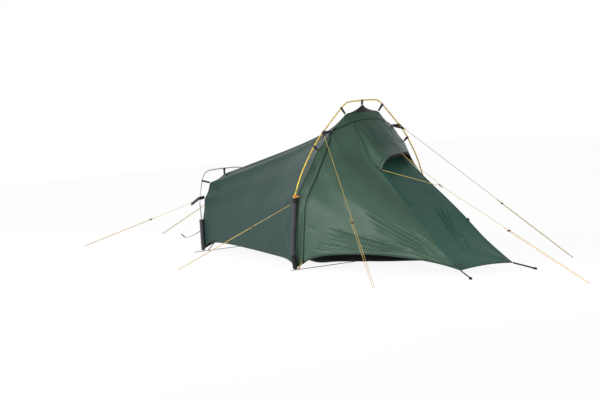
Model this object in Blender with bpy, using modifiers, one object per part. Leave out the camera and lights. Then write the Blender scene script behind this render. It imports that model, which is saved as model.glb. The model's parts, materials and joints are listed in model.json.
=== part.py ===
# Backpacking tent: one high main hoop, a low rear hoop, a clipped fly, an inner tent and its guy lines.
# Metres, +Z up. +X is the front, where the vestibule is, and -Y is the near side, with the door.
# The points below are measured from the ground under the middle of the main hoop.
import math

import bmesh
import bpy
from mathutils import Matrix, Vector

# Hoops: each half profile is a list of (distance from the centre line, height), foot to crown
BODY_LENGTH = 1.598
MAIN_LEAN = 0.115
REAR_LEAN = 0.042
MAIN_PROFILE = [(0.5325, 0.0), (0.552, 0.120), (0.553, 0.240), (0.546, 0.360), (0.5425, 0.485), (0.483, 0.648),
                (0.391, 0.804), (0.319, 0.893), (0.172, 1.041), (0.140, 1.068), (0.100, 1.078), (0.0, 1.080)]
REAR_PROFILE = [(0.208, 0.0), (0.215, 0.231), (0.223, 0.378), (0.197, 0.505), (0.180, 0.556), (0.163, 0.575),
                (0.120, 0.583), (0.050, 0.586), (0.0, 0.585)]
MAIN_POLE_RADIUS = 0.0048
REAR_POLE_RADIUS = 0.0042
POLE_WALL = 0.0012
FERRULE_LENGTH = 0.030
POLE_SIDES = 10
POLE_STEP = 0.035

# Where the fly hangs from each hoop's clips, crown first: (distance from the centre line, height)
MAIN_CLIPS = [1.041, 0.893, 0.804]
REAR_CLIPS = [0.512, 0.378]
MAIN_HANG = [(0.0, 1.048), (0.139, 1.000), (0.260, 0.890), (0.360, 0.779)]
REAR_HANG = [(0.0, 0.544), (0.129, 0.493), (0.180, 0.380)]
MAIN_SCALLOP = [0.012, 0.012, 0.008, 0.0]
REAR_SCALLOP = [0.010, 0.011, 0.006]
MAIN_ROWS = [4, 3, 2, 5]
REAR_ROWS = [4, 4, 6]
SLEEVE_ROWS = 4
YOKE_ROWS = MAIN_ROWS[0] + MAIN_ROWS[1]
RIDGE_FLARE = 0.22
RIDGE_FLARE_POWER = 6
BODY_SAG = 0.010

# Hems: (share of the hem's length, height above the line between its two feet)
BODY_HEM = [(0.0, 0.0), (0.012, 0.012), (0.030, 0.038), (0.060, 0.050), (0.110, 0.056), (0.20, 0.065), (0.36, 0.064),
            (0.52, 0.059), (0.68, 0.053), (0.84, 0.047), (0.905, 0.042), (0.950, 0.022), (0.975, 0.006), (1.0, 0.0)]
BODY_FOOT = 0.018
REAR_HEM_RISE = 0.050
DOOR_HEM = [(0.0, 0.0), (0.022, 0.018), (0.055, 0.036), (0.09, 0.047), (0.13, 0.057), (0.18, 0.064), (0.24, 0.070),
            (0.30, 0.074), (0.36, 0.076), (0.42, 0.078), (0.48, 0.078), (0.54, 0.075), (0.60, 0.071), (0.66, 0.066),
            (0.72, 0.059), (0.78, 0.052), (0.84, 0.042), (0.90, 0.030), (0.95, 0.016), (1.0, 0.0)]
TOE_HEM_RISE = 0.012
HEM_REACH = 0.45

# The seam between the side panels and the front panel, hood to corner: (x, distance from the centre line, height)
HOOD_TOP = (0.175, 0.130, 0.943)
HOOD_CROWN = 0.955
FRONT_SEAM = [(0.277, 0.138, 0.812), (0.350, 0.140, 0.705), (0.476, 0.140, 0.625),
              (0.848, 0.180, 0.362), (1.083, 0.195, 0.184), (1.312, 0.214, 0.042)]

# Vent hood: its rim, near to far, and its far side, which stands off the seam on a side wall
RIM = [(0.476, -0.140, 0.634), (0.475, -0.135, 0.655), (0.496, -0.120, 0.696), (0.506, -0.080, 0.724),
       (0.502, 0.0, 0.732), (0.470, 0.080, 0.734), (0.432, 0.128, 0.712)]
HOOD_FAR_SIDE = [(0.277, 0.134, 0.838), (0.350, 0.132, 0.772)]
HOOD_LIFT = 0.004
HOOD_COLUMNS = 12

# Zip: its distance ahead of the hoop's edge of the fly at each height; the slider runs on the lowest stretch
ZIP_AHEAD = [(0.800, 0.046), (0.700, 0.066), (0.600, 0.078), (0.500, 0.082), (0.400, 0.074), (0.040, 0.058)]
ZIP_ROWS = [2, 3, 3, 3, 3, 4]
ZIP_BULGE = 0.35
ZIP_WIDTH = 0.011
SLIDER = (0.009, 0.005, 0.016)
SLIDER_REST = 0.024

# Tension folds on the side panels, which fan out of the front corner
FOLD_WAVES = 9.5
FOLD_DEPTH = 0.009
FOLD_ANGLE = 0.45

# Cloth, webbing and seams
FABRIC = 0.0008
SEAM = 0.00045
WEBBING = 0.0012
CLEARANCE = 0.0003
CLIP_WIDTH = 0.012
GUY_CLIP_WIDTH = 0.024
BAND_WIDTH = 0.020
BAND_THICKNESS = 0.0015
PEG_HOLE = 0.0065
MAIN_BAND_TAIL = 0.033
REAR_BAND_TAIL = 0.080
HEM_STRAP_SHARE = 0.095
STRAP_WIDTH = 0.010
SLEEVE_WIDTH = 0.025
SLEEVE_DEPTH = 0.034
SLEEVE_WALL = 0.0014
SLEEVE_FOOT = 0.010
SLEEVE_SIDES = 14
MAIN_SLEEVE_TOP = 0.478
REAR_SLEEVE_TOP = 0.231
LOCK_RADIUS = 0.015
LOCK_HEIGHT = 0.018
LOCK_BAR = (0.034, 0.0042)
LOOP_RADIUS = 0.010
FRONT_TOE = (1.476, 0.268)
DOOR_TOE = (0.064, -0.556)
# The rear tail: (distance behind the rear hoop, distance from the centre line, height)
REAR_TAIL = [(-0.102, 0.204, 0.118), (-0.202, 0.200, 0.091), (-0.247, 0.200, 0.088), (-0.292, 0.200, 0.110)]
REAR_TAIL_HEIGHT = 0.150

# Inner tent: near and far edges of its floor, rear to front, and the lift of its near edge
FLOOR_REAR = 0.098 - BODY_LENGTH
FLOOR_NEAR = [(FLOOR_REAR, -0.125), (-0.80, -0.210), (-0.16, -0.290), (0.18, -0.030), (0.52, 0.300)]
FLOOR_FAR = [(FLOOR_REAR, 0.125), (-0.80, 0.240), (-0.16, 0.400), (0.40, 0.370), (0.52, 0.340)]
FLOOR_STATIONS = [FLOOR_REAR, -1.15, -0.80, -0.55, -0.40, -0.25, -0.16, -0.10, 0.02, 0.16, 0.34, 0.52]
FLOOR_LIFT = [(FLOOR_REAR, 0.062), (-0.80, 0.062), (-0.40, 0.040), (-0.25, 0.006), (-0.16, 0.0), (0.52, 0.0)]
FLOOR_COLUMNS = 4
TRAY_WALL = 0.080
INNER_DROP = 0.060
INNER_RIDGE = (0.178 - BODY_LENGTH, 0.02)
CANOPY_LEVELS = 8
DOORWAY_STATIONS = (-0.10, 0.34)
DOORWAY_LEVELS = (1, 5)
HANG_SHARES = [0.11, 0.52, 0.905]
HANG_RADIUS = 0.0025

# Guy lines: where each is pegged, (x, distance from the centre line), and its tensioner's share of the way
CORD_RADIUS = 0.0015
STRAND_GAP = 0.012
TENSIONER = (0.026, 0.010, 0.006)
TENSIONER_HOLE = 0.0021
GUY_TAB = 0.040
REAR_GUY_TAB = 0.090
SLEEVE_TAB = 0.020
SLEEVE_TAB_HEIGHT = MAIN_SLEEVE_TOP - 0.028
UPPER_PEG = (1.218, 0.815)
LOWER_PEG = (-0.781, 0.950)
REAR_NEAR_PEG = (-1.222 - BODY_LENGTH, 0.497)
REAR_FAR_PEG = (-1.402 - BODY_LENGTH, 0.320)
FRONT_PEG = (2.240, 0.0)
TENSIONER_SHARES = {"upper": 0.56, "lower": 0.30, "rear_near": 0.34, "rear_far": 0.33, "front": 0.45}
BRIDLE_APEX = (0.887, 0.0, 0.540)
BRIDLE_RIM_SHARES = (0.0, 0.60)
BRIDLE_BEND = 0.006
RING_RADIUS = 0.010
RING_WIRE = 0.002

NEAR, FAR = -1, 1
SIDES = ((NEAR, "near"), (FAR, "far"))


# The scene

def clear_scene():
    for obj in list(bpy.data.objects):
        bpy.data.objects.remove(obj)
    for collection in list(bpy.data.collections):
        bpy.data.collections.remove(collection)


def new_collection(name):
    collection = bpy.data.collections.new(name)
    bpy.context.scene.collection.children.link(collection)
    return collection


clear_scene()
tent = new_collection("backpacking_tent")
guides = new_collection("guides")


def material(name, colour, roughness, metallic=0.0):
    made = bpy.data.materials.new(name)
    made.use_nodes = True
    shader = made.node_tree.nodes["Principled BSDF"]
    shader.inputs["Base Color"].default_value = (*colour, 1.0)
    shader.inputs["Roughness"].default_value = roughness
    shader.inputs["Metallic"].default_value = metallic
    return made


slate = material("slate_ripstop", (0.075, 0.125, 0.110), 0.45)
green = material("green_ripstop", (0.090, 0.165, 0.120), 0.45)
teal = material("teal_ripstop", (0.055, 0.120, 0.095), 0.45)
black = material("black_webbing", (0.040, 0.038, 0.042), 0.7)
dark = material("dark_inner_cloth", (0.012, 0.015, 0.018), 0.6)
yellow = material("yellow_pole", (0.750, 0.480, 0.060), 0.25, 0.9)
grey = material("grey_pole", (0.400, 0.400, 0.410), 0.3, 0.9)
orange = material("orange_cord_lock", (0.850, 0.300, 0.050), 0.4)
guy_yellow = material("guy_line", (0.800, 0.520, 0.120), 0.6)
plastic = material("black_plastic", (0.030, 0.030, 0.032), 0.4)


# Points and curves

def smooth_through(points, spacing):
    """Points about one spacing apart on a smooth curve through the given ones."""
    ends = [2 * points[0] - points[1], *points, 2 * points[-1] - points[-2]]
    found = []
    for before, start, end, after in zip(ends, ends[1:], ends[2:], ends[3:]):
        steps = max(1, round((end - start).length / spacing))
        for step in range(steps):
            t = step / steps
            found.append(0.5 * (2 * start + (end - before) * t
                                + (2 * before - 5 * start + 4 * end - after) * t ** 2
                                + (3 * start - before - 3 * end + after) * t ** 3))
    return [*found, points[-1]]


def evenly(points, count):
    """A polyline's points at equal distances along it."""
    lengths = [(b - a).length for a, b in zip(points, points[1:])]
    found = []
    for index in range(count):
        left = sum(lengths) * index / count
        place = 0
        while left > lengths[place]:
            left -= lengths[place]
            place += 1
        found.append(points[place].lerp(points[place + 1], left / lengths[place]))
    return [*found, points[-1]]


def between(table, x):
    """The value at x in a list of (x, value)."""
    for (x0, value0), (x1, value1) in zip(table, table[1:]):
        if x <= x1:
            return value0 + (value1 - value0) * max(0.0, (x - x0) / (x1 - x0))
    return table[-1][1]


def ease(t):
    """0 to 1 with smooth ends."""
    t = min(1.0, max(0.0, t))
    return t * t * (3 - 2 * t)


def mirrored(points):
    return [Vector((p.x, -p.y, p.z)) for p in points]


def near_point(x, y, z):
    return Vector((x, -y, z))


def on_side(point, side):
    """A near-side point, or its mirror image on the far side."""
    return Vector((point.x, -point.y * side, point.z))


def circle(centre, radius, sides):
    return [(centre[0] + radius * math.cos(math.tau * i / sides), centre[1] + radius * math.sin(math.tau * i / sides))
            for i in range(sides)]


def axes_at(place, x_axis, y_axis, z_axis):
    return Matrix.Translation(place) @ Matrix((x_axis, y_axis, z_axis)).transposed().to_4x4()


# Objects

def add_object(name, data, finish):
    obj = bpy.data.objects.new(name, data)
    obj.data.materials.append(finish)
    tent.objects.link(obj)
    return obj


def make_guide(obj):
    """Takes an object out of the tent and keeps it for modifiers to use."""
    if obj.name in tent.objects:
        tent.objects.unlink(obj)
    guides.objects.link(obj)
    obj.hide_render = True
    obj.display_type = "WIRE"
    return obj


def polyline(name, points, cyclic=False):
    data = bpy.data.curves.new(name, "CURVE")
    data.dimensions = "3D"
    add_spline(data, points, cyclic)
    return data


def add_spline(data, points, cyclic):
    spline = data.splines.new("POLY")
    spline.points.add(len(points) - 1)
    spline.use_cyclic_u = cyclic
    for slot, point in zip(spline.points, points):
        slot.co = (*point, 1.0)


def cord(name, points, radius, finish):
    """A round cord along a list of points."""
    data = polyline(name, points)
    data.bevel_depth = radius
    data.bevel_resolution = 2
    data.use_fill_caps = True
    return add_object(name, data, finish)


def flat_piece(name, rings, thickness, finish):
    """A plate in its own XY plane: the first ring is its outline and the others are holes."""
    data = bpy.data.curves.new(name, "CURVE")
    data.dimensions = "2D"
    data.fill_mode = "BOTH"
    data.extrude = thickness / 2
    for ring in rings:
        add_spline(data, [(x, y, 0.0) for x, y in ring], True)
    return add_object(name, data, finish)


def meshed(obj, finish):
    """The same object as a mesh with welded caps, which a Boolean needs."""
    bpy.context.view_layer.update()
    evaluated = obj.evaluated_get(bpy.context.evaluated_depsgraph_get())
    mesh = bpy.data.meshes.new_from_object(evaluated)
    made = bmesh.new()
    made.from_mesh(mesh)
    bmesh.ops.remove_doubles(made, verts=made.verts, dist=0.00001)
    made.to_mesh(mesh)
    made.free()
    mesh.materials.clear()
    name, place = obj.name, obj.matrix_world.copy()
    bpy.data.objects.remove(obj)
    obj = add_object(name, mesh, finish)
    obj.matrix_world = place
    return obj


def joined(obj, others):
    """Makes the others part of obj, as one body."""
    for other in others:
        union = obj.modifiers.new("union", "BOOLEAN")
        union.operation = "UNION"
        union.object = make_guide(other)
    return obj


def sheet(name, rows, thickness, finish, offset=0.0, smooth=True, closed=False):
    """A grid of points, row by row, as a thin solid; closed joins each row's ends."""
    mesh = bpy.data.meshes.new(name)
    across = len(rows[0])
    faces = [(r * across + c, r * across + (c + 1) % across, (r + 1) * across + (c + 1) % across, (r + 1) * across + c)
             for r in range(len(rows) - 1) for c in range(across if closed else across - 1)]
    mesh.from_pydata([point for row in rows for point in row], [], faces)
    if smooth:
        mesh.shade_smooth()
    obj = add_object(name, mesh, finish)
    shell = obj.modifiers.new("thickness", "SOLIDIFY")
    shell.thickness = thickness
    shell.offset = offset
    return obj


def strap(name, path, sides, width, finish):
    """Webbing along a path; sides holds the direction of its width, one for all or one for each point."""
    if isinstance(sides, Vector):
        sides = [sides] * len(path)
    rows = [[point - side * width / 2, point + side * width / 2] for point, side in zip(path, sides)]
    return sheet(name, rows, WEBBING, finish, smooth=False)


def trimmed(rows, seam=SEAM):
    """Draws a grid's four edges in, to leave its share of the seams round it."""
    def draw_in(edge, inner):
        return [a + (b - a).normalized() * min(seam, (b - a).length / 2) for a, b in zip(edge, inner)]
    rows = [list(row) for row in rows]
    rows[0] = draw_in(rows[0], rows[1])
    rows[-1] = draw_in(rows[-1], rows[-2])
    columns = [list(column) for column in zip(*rows)]
    columns[0] = draw_in(columns[0], columns[1])
    columns[-1] = draw_in(columns[-1], columns[-2])
    return [list(row) for row in zip(*columns)]


# Hoop lines

def hoop_line(profile, x_at_ground, lean, pole_radius):
    """The centre line of a hoop, near foot to far foot; its feet stand on the ground band."""
    foot = BAND_THICKNESS + CLEARANCE + pole_radius * math.sin(math.atan(lean)) + 0.0002
    near = [Vector((x_at_ground + lean * z, -y, max(z, foot))) for y, z in profile]
    return smooth_through(near + mirrored(near[:-1])[::-1], 0.02)


def on_hoop(points, height, side):
    """The hoop's centre at a height, on the near or the far side, and its upward direction there."""
    half = points if side == NEAR else points[::-1]
    for a, b in zip(half, half[1:]):
        if a.z <= height <= b.z:
            return a.lerp(b, (height - a.z) / (b.z - a.z)), (b - a).normalized()
    raise ValueError("the hoop doesn't reach this height")


def crown_of(points):
    middle = min(range(1, len(points) - 1), key=lambda index: abs(points[index].y))
    return points[middle], (points[middle + 1] - points[middle - 1]).normalized()


main_line = hoop_line(MAIN_PROFILE, 0.0, MAIN_LEAN, MAIN_POLE_RADIUS)
rear_line = hoop_line(REAR_PROFILE, -BODY_LENGTH, REAR_LEAN, REAR_POLE_RADIUS)


# Poles: each section is a turned tube with a socket at its start and a ferrule at its end, bent along its hoop

def pole_section(name, guide, start, end, radius, has_socket, has_ferrule, finish):
    """A section between two distances along its guide."""
    core = radius - POLE_WALL
    end_face = end - CLEARANCE
    socket_end = start + FERRULE_LENGTH + 10 * CLEARANCE
    steps = round((end_face - start) / POLE_STEP)
    profile = [(start, 0.0)]
    if has_socket:
        profile = [(socket_end, 0.0), (socket_end, core + CLEARANCE), (start, core + CLEARANCE)]
    profile += [(start + (end_face - start) * step / steps, radius) for step in range(steps + 1)]
    if has_ferrule:
        profile += [(end_face, core), (end + FERRULE_LENGTH, core), (end + FERRULE_LENGTH, 0.0)]
    else:
        profile += [(end_face, 0.0)]
    mesh = bpy.data.meshes.new(name)
    mesh.from_pydata([(x, 0.0, r) for x, r in profile], [(i, i + 1) for i in range(len(profile) - 1)], [])
    obj = add_object(name, mesh, finish)
    turn = obj.modifiers.new("turn", "SCREW")
    turn.axis = "X"
    turn.steps = turn.render_steps = POLE_SIDES
    turn.use_merge_vertices = True
    turn.merge_threshold = 0.0001
    turn.use_normal_flip = True
    bend = obj.modifiers.new("bend", "CURVE")
    bend.object = guide
    bend.deform_axis = "POS_X"


def pole(name, points, parts, radius, finish):
    guide = make_guide(bpy.data.objects.new(name + "_guide", polyline(name + "_guide", points)))
    guide.data.twist_mode = "Z_UP"
    length = sum((b - a).length for a, b in zip(points, points[1:])) / len(parts)
    for index, part in enumerate(parts):
        pole_section(f"{name}_{part}", guide, length * index, length * (index + 1), radius,
                     index > 0, index < len(parts) - 1, finish)


pole("main_pole", main_line, ["near_leg", "near_shoulder", "crown", "far_shoulder", "far_leg"],
     MAIN_POLE_RADIUS, yellow)
pole("rear_pole", rear_line, ["near_leg", "crown", "far_leg"], REAR_POLE_RADIUS, grey)


# Guy lines' pegs and directions, which the tabs on the clips and sleeves point to

def ground_point(place, side):
    return Vector((place[0], side * place[1], CORD_RADIUS + CLEARANCE))


def tab_tip(start, peg, length):
    return start + (peg - start).normalized() * length


pegs = {"upper_near": ground_point(UPPER_PEG, NEAR), "upper_far": ground_point(UPPER_PEG, FAR),
        "lower_near": ground_point(LOWER_PEG, NEAR), "rear_near": ground_point(REAR_NEAR_PEG, NEAR),
        "rear_far": ground_point(REAR_FAR_PEG, FAR), "front": ground_point(FRONT_PEG, FAR)}
line_starts = {}


# Pole sleeves and the cord locks that close them

def sleeve(name, points, top, side):
    """A flat sleeve round the foot of a pole, open at both ends."""
    rows = []
    for step in range(7):
        centre, along = on_hoop(points, SLEEVE_FOOT + (top - SLEEVE_FOOT) * step / 6, side)
        forward = (Vector((1, 0, 0)) - along * along.x).normalized()
        across = along.cross(forward)
        rows.append([centre + forward * x + across * y for x, y in ellipse(SLEEVE_DEPTH / 2, SLEEVE_WIDTH / 2)])
    return sheet(name, rows, SLEEVE_WALL, black, offset=-1.0, closed=True)


def ellipse(half_x, half_y):
    return [(half_x * math.cos(math.tau * i / SLEEVE_SIDES), half_y * math.sin(math.tau * i / SLEEVE_SIDES))
            for i in range(SLEEVE_SIDES)]


def sleeve_with_tab(name, points, top):
    """The near main sleeve, with the webbing tab that the lower guy line pulls on."""
    centre, along = on_hoop(points, SLEEVE_TAB_HEIGHT, NEAR)
    run = (pegs["lower_near"] - centre).normalized()
    mid_wall = 1 / math.hypot(run.x / (SLEEVE_DEPTH / 2), run.y / (SLEEVE_WIDTH / 2)) - SLEEVE_WALL / 2
    tip = centre + run * (mid_wall + SLEEVE_TAB)
    line_starts["lower_near"] = tip
    tab = strap(name + "_tab", [centre + run * mid_wall, tip], (along - run * along.dot(run)).normalized(),
                STRAP_WIDTH, black)
    return joined(sleeve(name, points, top, NEAR), [tab])


def cord_lock(name, side):
    """A collar on the sleeve's mouth round the pole, with its toggle bar."""
    base, along = on_hoop(main_line, MAIN_SLEEVE_TOP, side)
    base += along * 6 * CLEARANCE
    top = on_hoop(main_line, base.z + LOCK_HEIGHT, side)[0]
    along = (top - base).normalized()
    inner = MAIN_POLE_RADIUS + 4 * CLEARANCE
    mesh = bpy.data.meshes.new(name)
    mesh.from_pydata([(LOCK_RADIUS * 0.8, 0, LOCK_HEIGHT), (LOCK_RADIUS, 0, LOCK_HEIGHT * 0.5), (LOCK_RADIUS * 0.8, 0, 0),
                      (inner, 0, 0), (inner, 0, LOCK_HEIGHT)], [(0, 1), (1, 2), (2, 3), (3, 4), (4, 0)], [])
    collar = add_object(name, mesh, orange)
    collar.matrix_world = Matrix.Translation(base) @ along.to_track_quat("Z", "X").to_matrix().to_4x4()
    turn = collar.modifiers.new("turn", "SCREW")
    turn.axis = "Z"
    turn.steps = turn.render_steps = 12
    turn.use_merge_vertices = True
    turn.merge_threshold = 0.0001
    bar_length, bar_radius = LOCK_BAR
    start = base + along * LOCK_HEIGHT / 2 + Vector((inner + bar_radius, 0, 0))
    bar = cord(name + "_bar", [start, start + Vector((bar_length, 0, bar_length * 0.1))], bar_radius, orange)
    return joined(collar, [meshed(bar, orange)])


sleeve_with_tab("main_sleeve_near", main_line, MAIN_SLEEVE_TOP)
sleeve("main_sleeve_far", main_line, MAIN_SLEEVE_TOP, FAR)
for side, word in SIDES:
    sleeve(f"rear_sleeve_{word}", rear_line, REAR_SLEEVE_TOP, side)
    cord_lock(f"cord_lock_{word}", side)


# The fly's edges at the hoops, near side, crown to foot

def hoop_edge(hang, dips, counts, line, x_at_ground, lean, sleeve_top):
    """The cloth's edge dips between the clips, runs straight to the sleeve, then follows it down."""
    beside = SLEEVE_WIDTH / 2 + FABRIC / 2 + 4 * CLEARANCE
    heights = [sleeve_top + (BODY_FOOT - sleeve_top) * step / SLEEVE_ROWS for step in range(SLEEVE_ROWS + 1)]
    stitched = []
    for height in heights:
        centre = on_hoop(line, height, NEAR)[0]
        stitched.append(Vector((centre.x, centre.y + beside, height)))
    anchors = [Vector((x_at_ground + lean * z, -y, z)) for y, z in hang] + [stitched[0]]
    points = []
    for start, end, dip, count in zip(anchors, anchors[1:], dips, counts):
        run = end - start
        inward = Vector((0, -run.z, run.y)).normalized()
        inward = inward if inward.y > 0 else -inward
        for step in range(count):
            t = step / count
            points.append(start.lerp(end, t) + inward * dip * 4 * t * (1 - t))
    return points + stitched


main_edge = hoop_edge(MAIN_HANG, MAIN_SCALLOP, MAIN_ROWS, main_line, 0.0, MAIN_LEAN, MAIN_SLEEVE_TOP)
rear_edge = hoop_edge(REAR_HANG, REAR_SCALLOP, REAR_ROWS, rear_line, -BODY_LENGTH, REAR_LEAN, REAR_SLEEVE_TOP)


# The fly's body: one panel on each side of the ridge, and the rear wall

def ridge_height(t, low, high):
    """A row's height at a share of the way from the rear hoop to the main one, where it sweeps up."""
    return low + (high - low) * ((1 - RIDGE_FLARE) * t + RIDGE_FLARE * t ** RIDGE_FLARE_POWER)


def hem_pull(row, last_row):
    """How much of a hem's rise reaches this row."""
    return max(0.0, 1 - (1 - row / last_row) / HEM_REACH) ** 2


def body_rows():
    last_row = len(main_edge) - 1
    rows = []
    for index, (rear, main) in enumerate(zip(rear_edge, main_edge)):
        row = []
        for t, rise in BODY_HEM:
            point = rear.lerp(main, t)
            point.z = ridge_height(t, rear.z, main.z) + rise * hem_pull(index, last_row)
            if index:
                point.y += BODY_SAG * 4 * t * (1 - t)
            row.append(point)
        rows.append(row)
    return rows


def rear_wall_rows():
    """A flat wall just behind the body's rear edge, whose hem rises between the feet."""
    columns = 6
    behind = Vector((CLEARANCE, 0, 0))
    peak = evenly([rear_edge[1], rear_edge[0], on_side(rear_edge[1], FAR)], columns)
    rows = [[point - behind for point in peak]]
    last_row = len(rear_edge) - 1
    for index, near in enumerate(rear_edge[2:], 2):
        row = []
        for column in range(columns + 1):
            t = column / columns
            point = near.lerp(on_side(near, FAR), t) - behind
            point.z += REAR_HEM_RISE * 4 * t * (1 - t) * hem_pull(index, last_row)
            row.append(point)
        rows.append(row)
    return rows


body_grid = body_rows()
sheet("fly_body_near", trimmed(body_grid), FABRIC, slate)
sheet("fly_body_far", trimmed([mirrored(row) for row in body_grid]), FABRIC, slate)
sheet("fly_rear_wall", trimmed(rear_wall_rows()), FABRIC, slate)


# The front of the fly

hood_corner = near_point(*HOOD_TOP)
hood_crown = Vector((HOOD_TOP[0], 0.0, HOOD_CROWN))
front_seam = [near_point(*point) for point in FRONT_SEAM]
front_corner = front_seam[-1]
clip_corner = main_edge[YOKE_ROWS]
zip_top = clip_corner.lerp(hood_corner, 0.08)
ahead = Vector((front_corner.x - main_edge[-1].x, front_corner.y - main_edge[-1].y, 0)).normalized()


def fly_edge_at(height):
    """The fly's edge on the near side of the main hoop, at a height."""
    for a, b in zip(main_edge[YOKE_ROWS:], main_edge[YOKE_ROWS + 1:]):
        if b.z <= height <= a.z:
            return a.lerp(b, (a.z - height) / (a.z - b.z))
    raise ValueError("the fly's edge doesn't reach this height")


def zip_line():
    """From the yoke's seam to the ground, in as many points as the panels beside it have rows."""
    anchors = [zip_top]
    straight_from = ZIP_AHEAD[-2][0]
    for height, distance in ZIP_AHEAD:
        point = fly_edge_at(height) + ahead * distance
        point.y += ZIP_BULGE * distance * max(0.0, height - straight_from) / straight_from
        anchors.append(point)
    points = []
    for index, count in enumerate(ZIP_ROWS[:-1]):
        start, end = anchors[index], anchors[index + 1]
        before = anchors[index - 1] if index else 2 * start - end
        stretch = smooth_through([before, start, end, anchors[index + 2]], 0.005)
        first = min(range(len(stretch)), key=lambda i: (stretch[i] - start).length)
        last = min(range(len(stretch)), key=lambda i: (stretch[i] - end).length)
        points += evenly(stretch[first:last + 1], count)[:-1]
    return points + evenly(anchors[-2:], ZIP_ROWS[-1])


zip_points = zip_line()
panel_rows = len(zip_points) - 1
jamb_edge = evenly(main_edge[YOKE_ROWS:], panel_rows)
seam_line = smooth_through([hood_corner, *front_seam], 0.02)


def jamb_rows():
    """The narrow panel between the hoop and the zip."""
    columns = 3
    return [[a.lerp(b, column / columns) for column in range(columns + 1)] for a, b in zip(jamb_edge, zip_points)]


def fold(t, down):
    """The height of the tension folds at a share of the way across and down a side panel."""
    angle = (1 - down) / max(0.04, 1 - 0.98 * t)
    reach = ease(t / 0.25) * ease((1 - t) / 0.06)
    return FOLD_DEPTH * math.sin(FOLD_WAVES * angle + 0.6) * reach * math.exp(-((angle / FOLD_ANGLE - 1) ** 2))


def side_panel_rows(left):
    """From the zip, or from the hoop, to the front panel's seam."""
    right = evenly(seam_line, panel_rows)
    outward = Vector((ahead.y, -ahead.x, 0))
    rows = []
    for index, (a, b) in enumerate(zip(left, right)):
        inside = 0 < index < panel_rows
        row = []
        for t, rise in DOOR_HEM:
            point = a.lerp(b, t)
            point.z += rise * hem_pull(index, panel_rows)
            if inside:
                point += outward * fold(t, index / panel_rows)
            row.append(point)
        rows.append(row)
    return rows


def front_panel_rows():
    """The long panel between the two seams, from under the hood to the front hem."""
    columns, count = 8, 14
    rows = []
    for index, near in enumerate(evenly(smooth_through(front_seam[1:], 0.02), count)):
        row = []
        for column in range(columns + 1):
            t = column / columns
            point = near.lerp(on_side(near, FAR), t)
            point.z += TOE_HEM_RISE * 4 * t * (1 - t) * hem_pull(index, count)
            row.append(point)
        rows.append(row)
    return rows


def hood_seam(end):
    """The seam that the hood hangs from, from the near end to the crown; the end is a corner or a clip."""
    return [end, hood_crown.lerp(end, 0.5) + Vector((0, 0, 0.004)), hood_crown]


def yoke_rows():
    """The peak between the hoop's top clips and the seam that the hood hangs from."""
    upper = main_edge[YOKE_ROWS::-1]
    upper = upper + mirrored(upper[:-1])[::-1]
    lower = evenly([clip_corner, *hood_seam(hood_corner)], YOKE_ROWS)
    lower = lower + mirrored(lower[:-1])[::-1]
    count = 4
    return [[a.lerp(b, index / count) for a, b in zip(upper, lower)][1:-1] for index in range(count + 1)]


def hood_rows():
    """The vent hood, from its seam to its rim, and the side wall under its far side."""
    count = 10
    columns = HOOD_COLUMNS
    rim_points = [Vector(point) for point in RIM]
    rim = evenly(smooth_through(rim_points, 0.01), columns)
    near_top = hood_seam(hood_corner)
    far_end = mirrored(near_top[:1])[0].lerp(hood_crown, 0.04)
    top = evenly([*near_top, *mirrored(near_top[1:2]), far_end], columns)
    near_side = evenly(smooth_through([hood_corner, *front_seam[:2], rim_points[0]], 0.02), count)
    far_side = [far_end, *[Vector(point) for point in HOOD_FAR_SIDE], rim_points[-1]]
    far_side = evenly(smooth_through(far_side, 0.02), count)
    far_foot = mirrored(near_side)
    rows = []
    for index in range(count + 1):
        v = index / count
        row = []
        for column in range(columns + 1):
            u = column / columns
            point = (top[column].lerp(rim[column], v) + near_side[index].lerp(far_side[index], u)
                     - top[0].lerp(top[-1], u).lerp(rim[0].lerp(rim[-1], u), v))
            row.append(point + Vector((HOOD_LIFT, 0, HOOD_LIFT)) * v)
        row.append(far_foot[index] + Vector((HOOD_LIFT, 0, HOOD_LIFT)) * v)
        rows.append(row)
    return rows


far_edge = evenly([zip_top, *main_edge[YOKE_ROWS + 1:]], panel_rows)
door_grid = side_panel_rows(zip_points)
sheet("fly_jamb", trimmed(jamb_rows()), FABRIC, green)
sheet("fly_door", trimmed(door_grid), FABRIC, green)
sheet("fly_front_far", trimmed([mirrored(row) for row in side_panel_rows(far_edge)]), FABRIC, green)
sheet("fly_front_panel", trimmed(front_panel_rows()), FABRIC, teal)
sheet("fly_yoke", trimmed(yoke_rows()), FABRIC, green)
hood_grid = hood_rows()
sheet("vent_hood", trimmed(hood_grid, 2 * SEAM), FABRIC, green)


# The door's zip, its slider and its pull

zip_foot = zip_points[-1]
zip_up = (zip_points[-1 - ZIP_ROWS[-1]] - zip_foot).normalized()
tape_lift = FABRIC / 2 + WEBBING / 2 + 2.6 * CLEARANCE


def zip_frame(up):
    """The direction across the zip and the outward one, for its upward direction."""
    outward = up.cross(ahead).normalized()
    outward = outward if outward.y < 0 else -outward
    return outward.cross(up).normalized(), outward


def zip_tape():
    """Lies half on the narrow panel and half on the door, and bends along the seam between them."""
    rows = []
    for index in range(1, len(zip_points)):
        point = zip_points[index]
        up = (zip_points[index - 1] - zip_points[min(panel_rows, index + 1)]).normalized()
        back = (jamb_edge[index] - point).normalized()
        front = (door_grid[index][1] - point).normalized()
        back_normal, front_normal = up.cross(back).normalized(), front.cross(up).normalized()
        middle = (back_normal + front_normal).normalized()
        rows.append([point + back * ZIP_WIDTH / 2 + back_normal * tape_lift,
                     point + middle * tape_lift / middle.dot(front_normal),
                     point + front * ZIP_WIDTH / 2 + front_normal * tape_lift])
    return sheet("door_zip", rows, WEBBING, black, smooth=False)


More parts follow.
